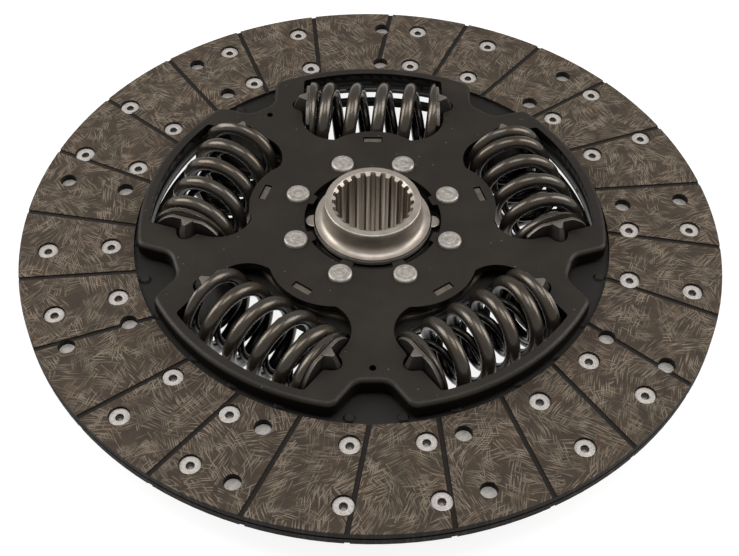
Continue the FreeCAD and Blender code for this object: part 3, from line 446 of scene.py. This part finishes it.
def yarn_layer(made, spot, patch, band, stroke, spacing, seed):
    """Bundles of straight yarn. Each Voronoi patch turns its own frame by a random angle, a band through its
    middle is kept, and Voronoi cells stretched along the band give strokes. Sizes are millimetres."""
    tree = made.tree
    moved = add(tree, "ShaderNodeVectorMath", {0: spot, 1: (seed, 2.3 * seed, 0)}, operation="ADD")
    cells = {"Vector": moved, "Scale": 1 / patch, "Randomness": 0.9}
    middle = add(tree, "ShaderNodeTexVoronoi", cells, out="Position", voronoi_dimensions="2D")
    chance = add(tree, "ShaderNodeTexVoronoi", cells, out="Color", voronoi_dimensions="2D")
    local = add(tree, "ShaderNodeVectorMath", {0: moved, 1: middle}, operation="SUBTRACT")
    pick = add(tree, "ShaderNodeSeparateColor", {"Color": chance})
    turn = add(tree, "ShaderNodeMath", {0: pick, 1: math.pi}, operation="MULTIPLY")
    lain = add(tree, "ShaderNodeVectorRotate", {"Vector": local, "Angle": turn}, rotation_type="Z_AXIS")
    offset = add(tree, "ShaderNodeVectorMath", {0: chance, "Scale": 90.0}, operation="SCALE")
    squeezed = add(tree, "ShaderNodeVectorMath", {0: lain, 1: (1 / stroke, 1 / spacing, 0), 2: offset},
                   operation="MULTIPLY_ADD")
    near = add(tree, "ShaderNodeTexVoronoi", {"Vector": squeezed, "Scale": 1.0, "Randomness": 0.75},
               voronoi_dimensions="2D")
    line = add(tree, "ShaderNodeValToRGB", {"Fac": near}, stops=[(0.10, 0.9), (0.22, 0.55), (0.34, 0.0)])
    side = add(tree, "ShaderNodeSeparateXYZ", {"Vector": lain}, out="Y")
    away = add(tree, "ShaderNodeMath", {0: side}, operation="ABSOLUTE")
    inside = add(tree, "ShaderNodeMapRange",
                 {"Value": away, "From Min": band, "From Max": band + 1.2, "To Min": 1.0, "To Max": 0.0})
    return add(tree, "ShaderNodeMath", {0: line, 1: inside}, operation="MULTIPLY")


def lining_material():
    """Moulded organic friction lining: matt and brown, with short light yarns in crossing bundles."""
    colours = settings().finish
    made = new_finish("moulded_friction_lining")
    material, tree, shader, spot, _ = made
    flow = add(tree, "ShaderNodeTexNoise", {"Vector": spot, "Scale": 1 / 16, "Detail": 1.0}, out="Color")
    drift = add(tree, "ShaderNodeVectorMath", {0: flow, 1: (3, 3, 0), 2: (-1.5, -1.5, 0)},
                operation="MULTIPLY_ADD")
    bent = add(tree, "ShaderNodeVectorMath", {0: spot, 1: drift}, operation="ADD")
    yarn = 0.0
    layers = ((19, 5, 17, 1.2, 40), (16, 4, 15, 1.1, 170), (26, 9, 16, 1.3, 330))
    for patch, band, stroke, spacing, seed in layers:
        layer = yarn_layer(made, bent, patch, band, stroke, spacing, seed)
        yarn = add(tree, "ShaderNodeMath", {0: yarn, 1: layer}, operation="MAXIMUM")
    patches = add(tree, "ShaderNodeTexNoise", {"Vector": spot, "Scale": 1 / 9, "Detail": 2.0})
    fade = add(tree, "ShaderNodeMapRange",
               {"Value": patches, "From Min": 0.35, "From Max": 0.65, "To Min": 0.2, "To Max": 0.7})
    bright = add(tree, "ShaderNodeMath", {0: yarn, 1: fade}, operation="MULTIPLY")
    grain = add(tree, "ShaderNodeTexNoise", {"Vector": spot, "Scale": 1 / 0.8, "Detail": 2.0})
    cloud = add(tree, "ShaderNodeTexNoise", {"Vector": spot, "Scale": 1 / 7, "Detail": 3.0})
    dark = add(tree, "ShaderNodeValToRGB", {"Fac": cloud}, stops=[(0.35, 0.0), (0.68, 1.0)])
    rust = add(tree, "ShaderNodeTexNoise", {"Vector": spot, "Scale": 1 / 13, "Detail": 2.0, "W": 4.0},
               noise_dimensions="4D")
    warm = add(tree, "ShaderNodeValToRGB", {"Fac": rust}, stops=[(0.5, 0.0), (0.7, 0.6)])
    pits = add(tree, "ShaderNodeValToRGB", {"Fac": grain}, stops=[(0.52, 0.0), (0.75, 0.6)])
    # Painted shade: the grooves and edges, below the lining's face, are made nearly black
    groove_shade = add(tree, "ShaderNodeMapRange",
               {"Value": level_of(made), "From Min": 4.4, "From Max": 4.97, "To Min": 1.0, "To Max": 0.0})
    made = made._replace(shown=list(colours.lining))
    made = toned(made, dark, linear("#372F27"))
    made = toned(made, warm, linear("#4C3C30"))
    made = toned(made, bright, list(colours.yarn))
    made = toned(made, pits, linear("#2B2521"))
    toned(made, groove_shade, linear("#1D1916"))
    rough = add(tree, "ShaderNodeMapRange", {"Value": bright, "To Min": 0.85, "To Max": 0.6})
    tree.links.new(rough, shader.inputs["Roughness"])
    shader.inputs["Specular IOR Level"].default_value = 0.35
    relief = add(tree, "ShaderNodeMath", {0: grain, 1: 0.6, 2: bright}, operation="MULTIPLY_ADD")
    raised = add(tree, "ShaderNodeBump", {"Height": relief, "Distance": 0.14 * MM, "Strength": 0.8})
    tree.links.new(raised, shader.inputs["Normal"])
    return material


def satin(name, base, tint, patch, share, metallic, roughness, grain, depth):
    """A surface with a cloudy tint, uneven gloss and fine grain. The tint's patches, the grain and its depth
    are millimetres, and roughness has a lowest and a highest value."""
    made = new_finish(name)
    material, tree, shader, spot, _ = made
    clouds = add(tree, "ShaderNodeTexNoise", {"Vector": spot, "Scale": 1 / patch, "Detail": 4.0})
    cloudy = add(tree, "ShaderNodeValToRGB", {"Fac": clouds}, stops=[(0.38, 0.0), (0.68, share)])
    fine = add(tree, "ShaderNodeTexNoise", {"Vector": spot, "Scale": 1 / grain, "Detail": 2.0})
    smooth, rough = roughness
    gloss = add(tree, "ShaderNodeMapRange",
                {"Value": fine, "From Min": 0.3, "From Max": 0.7, "To Min": smooth, "To Max": rough})
    raised = add(tree, "ShaderNodeBump", {"Height": fine, "Distance": depth * MM, "Strength": 0.6})
    tree.links.new(gloss, shader.inputs["Roughness"])
    tree.links.new(raised, shader.inputs["Normal"])
    shader.inputs["Metallic"].default_value = metallic
    return toned(made._replace(shown=base), cloudy, tint)


def plate_material():
    """Pressed steel, phosphated black and oiled: satin and slightly brown, with pale specks of dust, and
    with painted shade on upright walls, which are made nearly black and given little shine."""
    made = satin("black_phosphated_pressed_steel", list(settings().finish.plate), linear("#2B2721"),
                 patch=26, share=0.8, metallic=0.0, roughness=(0.38, 0.52), grain=1.1, depth=0.03)
    tree, shader = made.tree, made.shader
    dots = add(tree, "ShaderNodeTexVoronoi", {"Vector": made.spot, "Scale": 1 / 7, "Randomness": 1.0})
    speck = add(tree, "ShaderNodeValToRGB", {"Fac": dots}, stops=[(0.03, 0.5), (0.07, 0.0)])
    # Painted shade: upright walls are made nearly black
    wall = add(tree, "ShaderNodeMapRange",
               {"Value": flatness(made), "From Min": 0.7, "From Max": 0.3, "To Max": 0.8})
    toned(toned(made, speck, linear("#8F897F")), wall, linear("#0B0A08"))
    shine = add(tree, "ShaderNodeMapRange", {"Value": wall, "From Max": 0.8, "To Min": 0.3, "To Max": 0.03})
    tree.links.new(shine, shader.inputs["Specular IOR Level"])
    return made.material


def spring_material(name, base, tint, gloss):
    """Oil-tempered spring wire: dark with bronze and olive scale under a thin gloss of oil, and with painted
    shade on the side that faces the coil's axis, nearly black there and without the gloss."""
    made = satin(name, base, tint, patch=14, share=0.8, metallic=0.75, roughness=(0.25, 0.33), grain=3.0,
                 depth=0.004)
    inner = add(made.tree, "ShaderNodeAttribute", out="Fac", attribute_name=SHADED_SIDE)
    # Painted shade: the side that faces the coil's axis is made nearly black
    toned(made, inner, linear("#0B0A09"))
    oiled = add(made.tree, "ShaderNodeMapRange", {"Value": inner, "To Min": gloss, "To Max": 0.0})
    made.tree.links.new(oiled, made.shader.inputs["Coat Weight"])
    made.shader.inputs["Coat Roughness"].default_value = 0.14
    return made.material


def hub_material():
    """Turned and forged hub steel: warm grey outside, with painted shade round the middle of the neck, streaked
    and browner inside the spline, and with painted shade between the side plates, where it is nearly black."""
    made = satin("turned_forged_steel", list(settings().finish.hub), linear("#9A9086"),
                 patch=7, share=0.6, metallic=0.75, roughness=(0.36, 0.5), grain=0.7, depth=0.04)
    tree, spot = made.tree, made.spot
    flat = add(tree, "ShaderNodeVectorMath", {0: spot, 1: (1, 1, 0)}, operation="MULTIPLY")
    radius = add(tree, "ShaderNodeVectorMath", {0: flat}, "Value", operation="LENGTH")
    bore = add(tree, "ShaderNodeMapRange",
               {"Value": radius, "From Min": 25.1, "From Max": 25.6, "To Min": 1.0, "To Max": 0.0})
    below = add(tree, "ShaderNodeMapRange",
                {"Value": level_of(made), "From Min": 27.4, "From Max": 28.6, "To Min": 1.0, "To Max": 0.0})
    inside = add(tree, "ShaderNodeMath", {0: bore, 1: below}, operation="MULTIPLY")
    drawn = add(tree, "ShaderNodeVectorMath", {0: spot, 1: (1, 1, 0.015)}, operation="MULTIPLY")
    streaks = add(tree, "ShaderNodeTexNoise", {"Vector": drawn, "Scale": 1 / 1.3, "Detail": 3.0})
    wear_and_sheen = add(tree, "ShaderNodeValToRGB", {"Fac": streaks},
               stops=[(0.3, linear("#5E5247")), (0.52, linear("#8F8376")), (0.68, linear("#C4B9AC"))])
    # Painted shade: a darker band round the middle of the neck
    outside = add(tree, "ShaderNodeMapRange", {"Value": radius, "From Min": 26.5, "From Max": 27.5})
    middle = level_share(made, [(17.5, 0.0), (20.5, 0.55), (26.0, 0.55), (28.6, 0.0)])
    neck = add(tree, "ShaderNodeMath", {0: outside, 1: middle}, operation="MULTIPLY")
    # Painted shade: the flange between the side plates is made nearly black
    wide = add(tree, "ShaderNodeMapRange", {"Value": radius, "From Min": 35.9, "From Max": 36.2})
    deep = level_share(made, [(11.9, 1.0), (12.4, 0.0)])
    flange_shade = add(tree, "ShaderNodeMath", {0: wide, 1: deep}, operation="MULTIPLY")
    made = toned(made, inside, wear_and_sheen)
    made = toned(made, neck, linear("#756B61"))
    return toned(made, flange_shade, linear("#161412")).material


def rivet_material():
    """Zinc-plated tubular rivet: pale silver flare, with painted shade inside its bore."""
    made = satin("zinc_plated_tubular_rivet", list(settings().finish.rivet), linear("#A5A19C"),
                 patch=1.5, share=0.7, metallic=0.4, roughness=(0.4, 0.55), grain=0.6, depth=0.03)
    # Painted shade: a dark band down inside the bore
    bore_shade = level_share(made, [(0.95, 0.0), (1.2, 1.0), (2.6, 1.0), (3.3, 0.0)])
    return toned(made, bore_shade, linear("#2B2825")).material


def seat_material():
    """Pressed and case-hardened seat: dark grey, with a painted highlight that makes the faces that look to the
    front or back paler.
    """
    made = satin("case_hardened_seat_steel", list(settings().finish.seat), linear("#2E2B28"),
                 patch=6, share=0.8, metallic=0.5, roughness=(0.34, 0.5), grain=0.8, depth=0.03)
    # Painted highlight: faces that look along the disc axis are made paler, as where the lamps catch them
    wear_and_sheen = add(made.tree, "ShaderNodeMapRange",
               {"Value": flatness(made), "From Min": 0.35, "From Max": 0.8, "To Max": 0.55})
    return toned(made, wear_and_sheen, linear("#938C84")).material


def finishes():
    """All materials of the disc by name."""
    colours = settings().finish
    made = {"lining": lining_material(), "plate": plate_material(), "hub": hub_material(),
            "rivet": rivet_material(), "seat": seat_material()}
    made["spring"] = spring_material("oil_tempered_spring_wire", list(colours.spring),
                                     list(colours.spring_tint), 0.3)
    # The inner springs' wire, nearly black with scale: the spring finish darkened as painted shade for their
    # place inside the outer springs
    made["inner_spring"] = spring_material("shaded_inner_spring_wire", linear("#26231F"),
                                           linear("#1B1815"), 0.1)
    plain = {
        # Cold-headed rivet, blank steel: light grey with darker clouds and a faint grain
        "hub_rivet": satin("cold_headed_rivet_steel", list(colours.hub_rivet), linear("#8F8981"), patch=3,
                           share=0.8, metallic=0.6, roughness=(0.4, 0.55), grain=0.7, depth=0.05),
        # Cold-rolled spring steel sheet: grey with a soft shine
        "segment": satin("cold_rolled_spring_sheet", list(colours.segment), linear("#6B6862"), patch=10,
                         share=0.6, metallic=0.8, roughness=(0.35, 0.5), grain=0.8, depth=0.02),
        # Nitrided carrier plate: nearly black and smooth
        "carrier": satin("nitrided_carrier_plate", linear("#181613"), linear("#12100E"), patch=16,
                         share=0.7, metallic=0.2, roughness=(0.42, 0.55), grain=1.0, depth=0.02),
        # Pressed ring with tabs: bare steel gone brown-grey
        "ring": satin("browned_ring_steel", linear("#6A6259"), linear("#4A433C"), patch=5,
                      share=0.7, metallic=0.3, roughness=(0.4, 0.55), grain=0.8, depth=0.03),
        # Glass-filled polymer bush: dark and matt
        "bush": satin("glass_filled_polymer_bush", linear("#2C2A28"), linear("#37342F"), patch=5,
                      share=0.6, metallic=0.0, roughness=(0.5, 0.65), grain=0.9, depth=0.03),
        # Pressed friction ring: matt dark brown compound
        "friction": satin("pressed_friction_ring", linear("#38322B"), linear("#2B2621"), patch=4,
                          share=0.7, metallic=0.0, roughness=(0.7, 0.85), grain=0.8, depth=0.05),
    }
    made.update({name: each.material for name, each in plain.items()})
    return made


# Pieces

def coil(spring, pack, rings, sides):
    """A tube of radius w along a helix of radius m. The centre of turn t is (s(t), R + m cos a, m sin a) with
    a = start + 2 pi t hand, and a tube point is the centre plus w (cos b radial + sin b across). s(t) grows
    by one wire a turn at the closed ends and evenly between. Points past the ground planes are laid on them."""
    wire = spring.wire / MM
    mean = spring.outer_radius / MM - wire / 2
    half = pack.half_length / MM
    ground = wire * pack.ground_share
    travel = 2 * half - wire + 2 * ground
    close_pitch = wire * CLOSED_PITCH
    closed = pack.first_closed + pack.last_closed
    open_pitch = (travel - closed * close_pitch) / (spring.turns - closed)
    turn = np.linspace(0, spring.turns, int(spring.turns * rings) + 1)
    rise = np.clip((turn - pack.first_closed + BLEND_TURNS) / (2 * BLEND_TURNS), 0, 1)
    fall = np.clip((spring.turns - pack.last_closed - turn + BLEND_TURNS) / (2 * BLEND_TURNS), 0, 1)
    share = rise ** 2 * (3 - 2 * rise) * fall ** 2 * (3 - 2 * fall)
    pitch = close_pitch + share * (open_pitch - close_pitch)
    step = turn[1]
    along = np.concatenate([[0], np.cumsum((pitch[1:] + pitch[:-1]) / 2 * step)])
    along = along * travel / along[-1] - travel / 2
    bearing = spring.start + FULL_TURN * turn * spring.hand
    radial = np.stack([0 * turn, np.cos(bearing), np.sin(bearing)], axis=-1)
    centre = np.stack([along, pack.radius / MM + mean * radial[:, 1], mean * radial[:, 2]], axis=-1)
    heading = np.gradient(centre, axis=0)
    heading /= np.linalg.norm(heading, axis=1, keepdims=True)
    across = np.cross(heading, radial)
    around = np.linspace(0, FULL_TURN, sides + 1)[None, :, None]
    tube = centre[:, None] + wire / 2 * (np.cos(around) * radial[:, None] + np.sin(around) * across[:, None])
    first = np.broadcast_to(centre[0], (1, sides + 1, 3))
    last = np.broadcast_to(centre[-1], (1, sides + 1, 3))
    tube = np.concatenate([first, tube, last])
    tube[..., 0] = np.clip(tube[..., 0], -half, half)
    return tube


def make_springs(name, spring, finish, rings, sides):
    """Five equal springs, one in each window."""
    tube = coil(spring, settings().pack, rings, sides)
    # 1 where the tube faces the axis, 0 from a little short of its middle outwards; the finish paints shade by
    # it
    inside = np.clip(0.15 - np.cos(np.linspace(0, FULL_TURN, sides + 1)), 0, 1)
    inside = np.broadcast_to(inside, tube.shape[:2]).ravel()
    for window in range(WINDOWS):
        corners, faces = shell(spun(tube, window * WINDOW_STEP))
        node = f"{name}_{window + 1}"
        mesh = write_mesh(node, corners, faces, inside=inside)
        made = place(f"{name}_coil_{window + 1}", mesh, finish, "spring_pack", "spring_steel", node)
        flatten(made)


def flatten(made):
    """Gives a piece of a spring pack a mesh of its own."""
    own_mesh(made)


class CLUTCH_OT_springs(bpy.types.Operator):
    """Outer and inner coil springs"""

    bl_idname = "clutch.springs"
    bl_label = "Springs"

    def execute(self, context):
        pack = settings().pack
        make_springs("outer_spring", pack.outer, "spring", 40, 24)
        make_springs("inner_spring", pack.inner, "inner_spring", 28, 14)
        return {"FINISHED"}


def seat_shells(end):
    """A seat at one end of window 1: a plate cut from a disc of radius R by two chords and a flat inner edge,
    and a nose shaped like a ship's bow for each side plate."""
    pack = settings().pack
    middle, front, back = pack.radius / MM, pack.seat_front / MM, pack.seat_back / MM
    radius = pack.seat_radius / MM
    bearing = np.linspace(0, FULL_TURN, 96, endpoint=False)
    out = np.maximum(radius * np.cos(bearing), -SEAT_INNER)
    up = np.clip(radius * np.sin(bearing), -SEAT_FLAT, SEAT_FLAT)
    shells = [stacked([np.stack([0 * out + face, middle + out, up], axis=-1) for face in (front, back)])]
    for side in (1, -1):
        outlines = []
        for level, corners in zip(NOSE_LEVELS, (NOSE_FOOT, NOSE_FOOT, NOSE_CROWN)):
            half = [(back + reach, wide) for reach, wide in corners]
            ring = half + [(reach, -wide) for reach, wide in reversed(half)]
            outlines.append([(reach, middle + wide, side * level) for reach, wide in ring])
        shells.append(stacked(outlines))
    return [shell(points * (end, 1, 1)) for points in shells]


class CLUTCH_OT_seats(bpy.types.Operator):
    """Seats at both ends of each spring pack"""

    bl_idname = "clutch.seats"
    bl_label = "Spring seats"

    def execute(self, context):
        for side, end in (("right", 1), ("left", -1)):
            corners, faces = join(seat_shells(end))
            for window in range(WINDOWS):
                node = f"spring_seat_{window + 1}_{side}"
                mesh = write_mesh(node, spun(corners, window * WINDOW_STEP), faces, SEAT_BEVEL)
                name = f"pressed_seat_{window + 1}_{side}"
                flatten(place(name, mesh, "seat", "spring_pack", "seat_steel", node))
        return {"FINISHED"}


def spline_radius(bearing, hub):
    """Radius of the spline at a bearing: flat spaces, sloping flanks and flat teeth, once for each tooth."""
    step = FULL_TURN / hub.teeth
    offset = np.abs((bearing + step / 2) % step - step / 2)
    return np.interp(offset, np.radians([0, SPACE_EDGE, TOOTH_EDGE, TOOTH_MIDDLE]),
                     np.array([hub.major, hub.major, hub.minor, hub.minor]) / MM)


def hub_grid(hub):
    """The hub's outside profile and bore carried round the axis. In the bore the radius is the larger of the
    profile's and the spline's, so the teeth run out in the end chamfers."""
    neck, collar, flange = hub.neck / MM, hub.collar / MM, hub.flange / MM
    upper = [(flange, 0), (flange, FLANGE_TOP), (collar, FLANGE_TOP), (collar, COLLAR_TOP),
             (neck, COLLAR_TOP), (neck, HUB_TOP), (BORE_MOUTH, HUB_TOP)]
    half = softened(upper, [0.8, 1.2, 1.6, 6, 1.1], 8)
    chamfer = [(BORE_MOUTH - CHAMFER_DEPTH * share, HUB_TOP - CHAMFER_FALL * share)
               for share in (0.15, 0.3, 0.5, 0.7, 0.85, 1)]
    tips = hub.minor / MM - TOOTH_COVER
    top = np.concatenate([half, chamfer, [(tips, 27), (tips, 15), (tips, 0)]])
    profile = np.concatenate([top, top[-2::-1] * (1, -1)])
    # Bearings of half a tooth's grid lines in degrees, closest on the flank
    lines = np.array([0, 1.4, SPACE_EDGE, 3.5, 4.1, TOOTH_EDGE, 6.0])
    lines = np.radians(np.concatenate([lines, [TOOTH_MIDDLE], 2 * TOOTH_MIDDLE - lines[:0:-1]]))
    starts = np.arange(hub.teeth)[:, None] * FULL_TURN / hub.teeth
    bearing = np.append((starts + lines).ravel(), FULL_TURN)
    radius = profile[:, :1] + 0 * bearing
    inside = (profile[:, 0] < BORE_MOUTH + 0.05)[:, None]
    radius = np.where(inside, np.maximum(radius, spline_radius(bearing, hub)), radius)
    return np.stack([radius * np.cos(bearing), radius * np.sin(bearing), profile[:, 1:] + 0 * bearing], -1)


class CLUTCH_OT_hub(bpy.types.Operator):
    """Forged hub with its collar, lugs, flange and spline"""

    bl_idname = "clutch.hub"
    bl_label = "Hub"

    def execute(self, context):
        lug = softened([(0, 9), (5, 9), (5, 12.6), (0, 12.6)], [0.3, 0.9], 6)
        shells = [shell(hub_grid(settings().hub))]
        shells += [shell(turned(lug, 36, centre)) for centre in LUGS]
        mesh = write_mesh("forged_hub", *join(shells))
        place("forged_hub", mesh, "hub", "hub_side", "hub_steel", "hub")
        return {"FINISHED"}


class CLUTCH_OT_hub_rivets(bpy.types.Operator):
    """Rivets that fix both side plates to the hub"""

    bl_idname = "clutch.hub_rivets"
    bl_label = "Hub rivets"

    def execute(self, context):
        hub = settings().hub
        head, circle = hub.rivet_head / MM, hub.rivet_circle / MM
        front = [(0, 17.75), (0.7, 17.75), (1.0, 17.4), (3.2, 17.38), (3.6, 17.22), (4.0, 17.38),
                 (5.2, 17.36), (head - 0.9, 17.3), (head, 16.5), (head, 14.9), (4.6, 14.9)]
        front = softened(front, [0.15, 0.15, 0.1, 0.1, 0.1, 0.1, 0.35, 0.35, 0.1], 4)
        back = [(4.6, -14.4), (head, -14.4), (head, -16), (head - 0.8, -16.9), (0, -16.9)]
        back = softened(back, [0.1, 0.35, 0.35], 4)
        grid = turned(np.concatenate([front, back]), 40, (circle, 0))
        turns = math.radians(HUB_RIVET_START) + np.arange(HUB_RIVETS) * FULL_TURN / HUB_RIVETS
        mesh = write_mesh("hub_rivet_heads", *repeated(grid, turns))
        place("hub_rivet_heads", mesh, "hub_rivet", "hub_side", "hub_rivet_steel", "hub_rivets")
        return {"FINISHED"}


def lining_rivet_grid(circle, side):
    """A tubular rivet turned about its own axis: a flat end on the segment, a shank, a rolled flare, and a
    bore with a narrow ledge."""
    face, pad = FLARE_TOP, SEGMENT_TOP
    profile = [(0, pad - 0.6), (4.8, pad - 0.6), (4.8, pad), (3.4, pad), (3.4, face - 1.2), (6.1, face - 1.2),
               (6.1, face - 0.05), (2.4, face), (2.4, 1.9), (1.5, 1.6), (1.5, pad), (0, pad)]
    profile = softened(profile, [0.2, 0, 0, 0, 0.2, 0.75, 0.7, 0.2, 0.2, 0.2], 4)
    profile[:, 1] *= side
    return turned(profile, 28, (circle, 0))


class CLUTCH_OT_lining_rivets(bpy.types.Operator):
    """Tubular rivets of both linings"""

    bl_idname = "clutch.lining_rivets"
    bl_label = "Lining rivets"

    def execute(self, context):
        for name, side, angles in (("front", 1, FRONT_RIVET_STARTS), ("rear", -1, REAR_RIVET_STARTS)):
            turns = [math.radians(start + RIVET_STEP * step) for start in angles
                     for step in range(RIVETS_PER_CIRCLE)]
            shells = [repeated(lining_rivet_grid(circle, side), turns) for circle in LINING_RIVET_CIRCLES]
            node = f"{name}_lining_rivets"
            mesh = write_mesh(node, *join(shells))
            place(f"{name}_tubular_rivets", mesh, "rivet", "lining_side", "rivet_metal", node)
        return {"FINISHED"}


def narrow_notches(mesh):
    """Draws the mouths of the notches together. The distance d from the pack's axis goes from 0, mouth and
    reach to 0, the notch's half height and reach, and evenly between."""
    pack = settings().pack
    spots = np.zeros(len(mesh.vertices) * 3)
    mesh.vertices.foreach_get("co", spots)
    spots = spots.reshape(-1, 3) / MM
    middle = pack.radius / MM
    for window in range(WINDOWS):
        local = spun(spots, -window * WINDOW_STEP)
        aside, out = np.abs(local[:, 0]), local[:, 1] - middle
        near = (aside > NOTCH_NEAR) & (aside < NOTCH_FAR) & (np.abs(out) < NOTCH_REACH)
        moved = np.interp(np.abs(out), [0, NOTCH_MOUTH, NOTCH_REACH], [0, pack.notch / MM, NOTCH_REACH])
        local[near, 1] = middle + (np.sign(out) * moved)[near]
        spots[near] = spun(local, window * WINDOW_STEP)[near]
    mesh.vertices.foreach_set("co", (spots * MM).ravel())


class CLUTCH_OT_plates(bpy.types.Operator):
    """Side plates, carrier plates, segments and rings, with their finishes"""

    bl_idname = "clutch.plates"
    bl_label = "Plates and rings"

    def execute(self, context):
        dressed = {"front_side_plate": "pressed_front_plate", "rear_side_plate": "flat_rear_plate"}
        for node, name in dressed.items():
            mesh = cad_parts[node].data.copy()
            narrow_notches(mesh)
            finish_mesh(mesh, False)
            place(name, mesh, "plate", "hub_side", "plate_black", node)
        painted = {
            "front_lining": "lining", "rear_lining": "lining", "front_carrier_plate": "carrier",
            "rear_carrier_plate": "carrier", "segment_rivets": "carrier", "centring_bush": "bush",
            "front_friction_ring": "friction", "rear_friction_ring": "friction",
            "rear_backing_ring": "segment", "pressure_ring": "ring", "disc_spring": "spring",
        }
        painted.update({f"cushion_segment_{segment}": "segment" for segment in range(1, 10)})
        for node, finish in painted.items():
            coat(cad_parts[node].data, finish)
        return {"FINISHED"}


class CLUTCH_OT_stage(bpy.types.Operator):
    """White floor, soft lights and the camera"""

    bl_idname = "clutch.stage"
    bl_label = "Stage"

    def execute(self, context):
        make_floor()
        make_lights()
        make_camera()
        return {"FINISHED"}


def make_floor():
    """A white floor under the hub that keeps a faint shadow. Rays that look at it see near white."""
    mesh = bpy.data.meshes.new("floor")
    low = CAD_BOX[0].z
    corners = [(x * FLOOR_REACH, y * FLOOR_REACH, low) for x, y in ((-1, -1), (1, -1), (1, 1), (-1, 1))]
    mesh.from_pydata(corners, [], [(0, 1, 2, 3)])
    floor = bpy.data.objects.new("floor", mesh)
    bpy.context.scene.collection.objects.link(floor)
    material = bpy.data.materials.new("white_paper_floor")
    material.use_nodes = True
    tree = material.node_tree
    tree.nodes.clear()
    camera = add(tree, "ShaderNodeLightPath", out="Is Camera Ray")
    glossy = add(tree, "ShaderNodeLightPath", out="Is Glossy Ray")
    through = add(tree, "ShaderNodeLightPath", out="Is Transmission Ray")
    seen = add(tree, "ShaderNodeMath", {0: camera, 1: glossy}, operation="ADD")
    seen = add(tree, "ShaderNodeMath", {0: seen, 1: through}, operation="ADD", use_clamp=True)
    shade = add(tree, "ShaderNodeBsdfDiffuse", {"Color": (0.25, 0.25, 0.25, 1)})
    glow = add(tree, "ShaderNodeEmission", {"Color": (1, 1, 1, 1), "Strength": 0.88})
    bright = add(tree, "ShaderNodeAddShader", {0: shade, 1: glow})
    plain = add(tree, "ShaderNodeBsdfDiffuse", {"Color": (0.6, 0.6, 0.6, 1)})
    mix = add(tree, "ShaderNodeMixShader", {0: seen, 1: plain, 2: bright})
    add(tree, "ShaderNodeOutputMaterial", {"Surface": mix})
    mesh.materials.append(material)


def make_lights():
    """Large soft lamps left, right and overhead, and a pale world that the camera sees as white."""
    for name, spot, (wide, deep), power in LAMPS:
        data = bpy.data.lights.new(name, "AREA")
        data.shape = "RECTANGLE"
        data.size = wide
        data.size_y = deep
        data.energy = power
        data.color = LAMP_TINT
        lamp = bpy.data.objects.new(name, data)
        lamp.location = spot
        lamp.rotation_euler = (-Vector(spot)).to_track_quat("-Z", "Y").to_euler()
        bpy.context.scene.collection.objects.link(lamp)
    world = bpy.data.worlds.new("pale_room")
    bpy.context.scene.world = world
    world.use_nodes = True
    tree = world.node_tree
    tree.nodes.clear()
    camera = add(tree, "ShaderNodeLightPath", out="Is Camera Ray")
    room = add(tree, "ShaderNodeBackground", {"Color": (1, 1, 1, 1), "Strength": ROOM_STRENGTH})
    white = add(tree, "ShaderNodeBackground", {"Color": (1, 1, 1, 1), "Strength": 1.0})
    mix = add(tree, "ShaderNodeMixShader", {0: camera, 1: room, 2: white})
    add(tree, "ShaderNodeOutputWorld", {"Surface": mix})


def make_camera():
    """The camera at the photograph's angle."""
    sizes = settings().camera
    azimuth, elevation, roll = sizes.azimuth, sizes.elevation, sizes.roll
    aside, ahead = math.sin(azimuth) * math.cos(elevation), math.cos(azimuth) * math.cos(elevation)
    back = Vector((aside, -ahead, math.sin(elevation)))
    level = Vector((math.cos(azimuth), math.sin(azimuth), 0))
    upright = back.cross(level)
    right = math.cos(roll) * level + math.sin(roll) * upright
    up = math.cos(roll) * upright - math.sin(roll) * level
    data = bpy.data.cameras.new("camera")
    data.lens = sizes.lens
    data.sensor_width = SENSOR_WIDTH
    data.shift_x, data.shift_y = CAMERA_SHIFT
    camera = bpy.data.objects.new("camera", data)
    bpy.context.scene.collection.objects.link(camera)
    matrix = Matrix((right, up, back)).transposed().to_4x4()
    matrix.translation = CAMERA_TARGET + back * sizes.distance
    camera.matrix_world = matrix
    bpy.context.scene.camera = camera
    bpy.context.scene.view_settings.view_transform = "Standard"


OPERATORS = (CLUTCH_OT_springs, CLUTCH_OT_seats, CLUTCH_OT_hub, CLUTCH_OT_hub_rivets, CLUTCH_OT_lining_rivets,
             CLUTCH_OT_plates, CLUTCH_OT_stage)


class CLUTCH_PT_panel(bpy.types.Panel):
    """Buttons for the disc's pieces"""

    bl_label = "Clutch disc"
    bl_idname = "CLUTCH_PT_panel"
    bl_space_type = "VIEW_3D"
    bl_region_type = "UI"
    bl_category = "Clutch disc"

    def draw(self, context):
        for operator in OPERATORS:
            self.layout.operator(operator.bl_idname)


CLASSES = (OuterSpringSizes, InnerSpringSizes, PackSizes, HubSizes, FinishColours, CameraSizes, DiscSettings,
           *OPERATORS, CLUTCH_PT_panel)
MATERIALS = {}


def register():
    """Registers the classes and the scene's settings."""
    for each in CLASSES:
        bpy.utils.register_class(each)
    bpy.types.Scene.clutch_disc = PointerProperty(type=DiscSettings)


def unregister():
    """Takes the classes and settings away."""
    del bpy.types.Scene.clutch_disc
    for each in reversed(CLASSES):
        bpy.utils.unregister_class(each)


def main():
    register()
    MATERIALS.update(finishes())
    bpy.ops.clutch.springs()
    bpy.ops.clutch.seats()
    bpy.ops.clutch.hub()
    bpy.ops.clutch.hub_rivets()
    bpy.ops.clutch.lining_rivets()
    bpy.ops.clutch.plates()
    bpy.ops.clutch.stage()


if __name__ == "__main__":
    main()
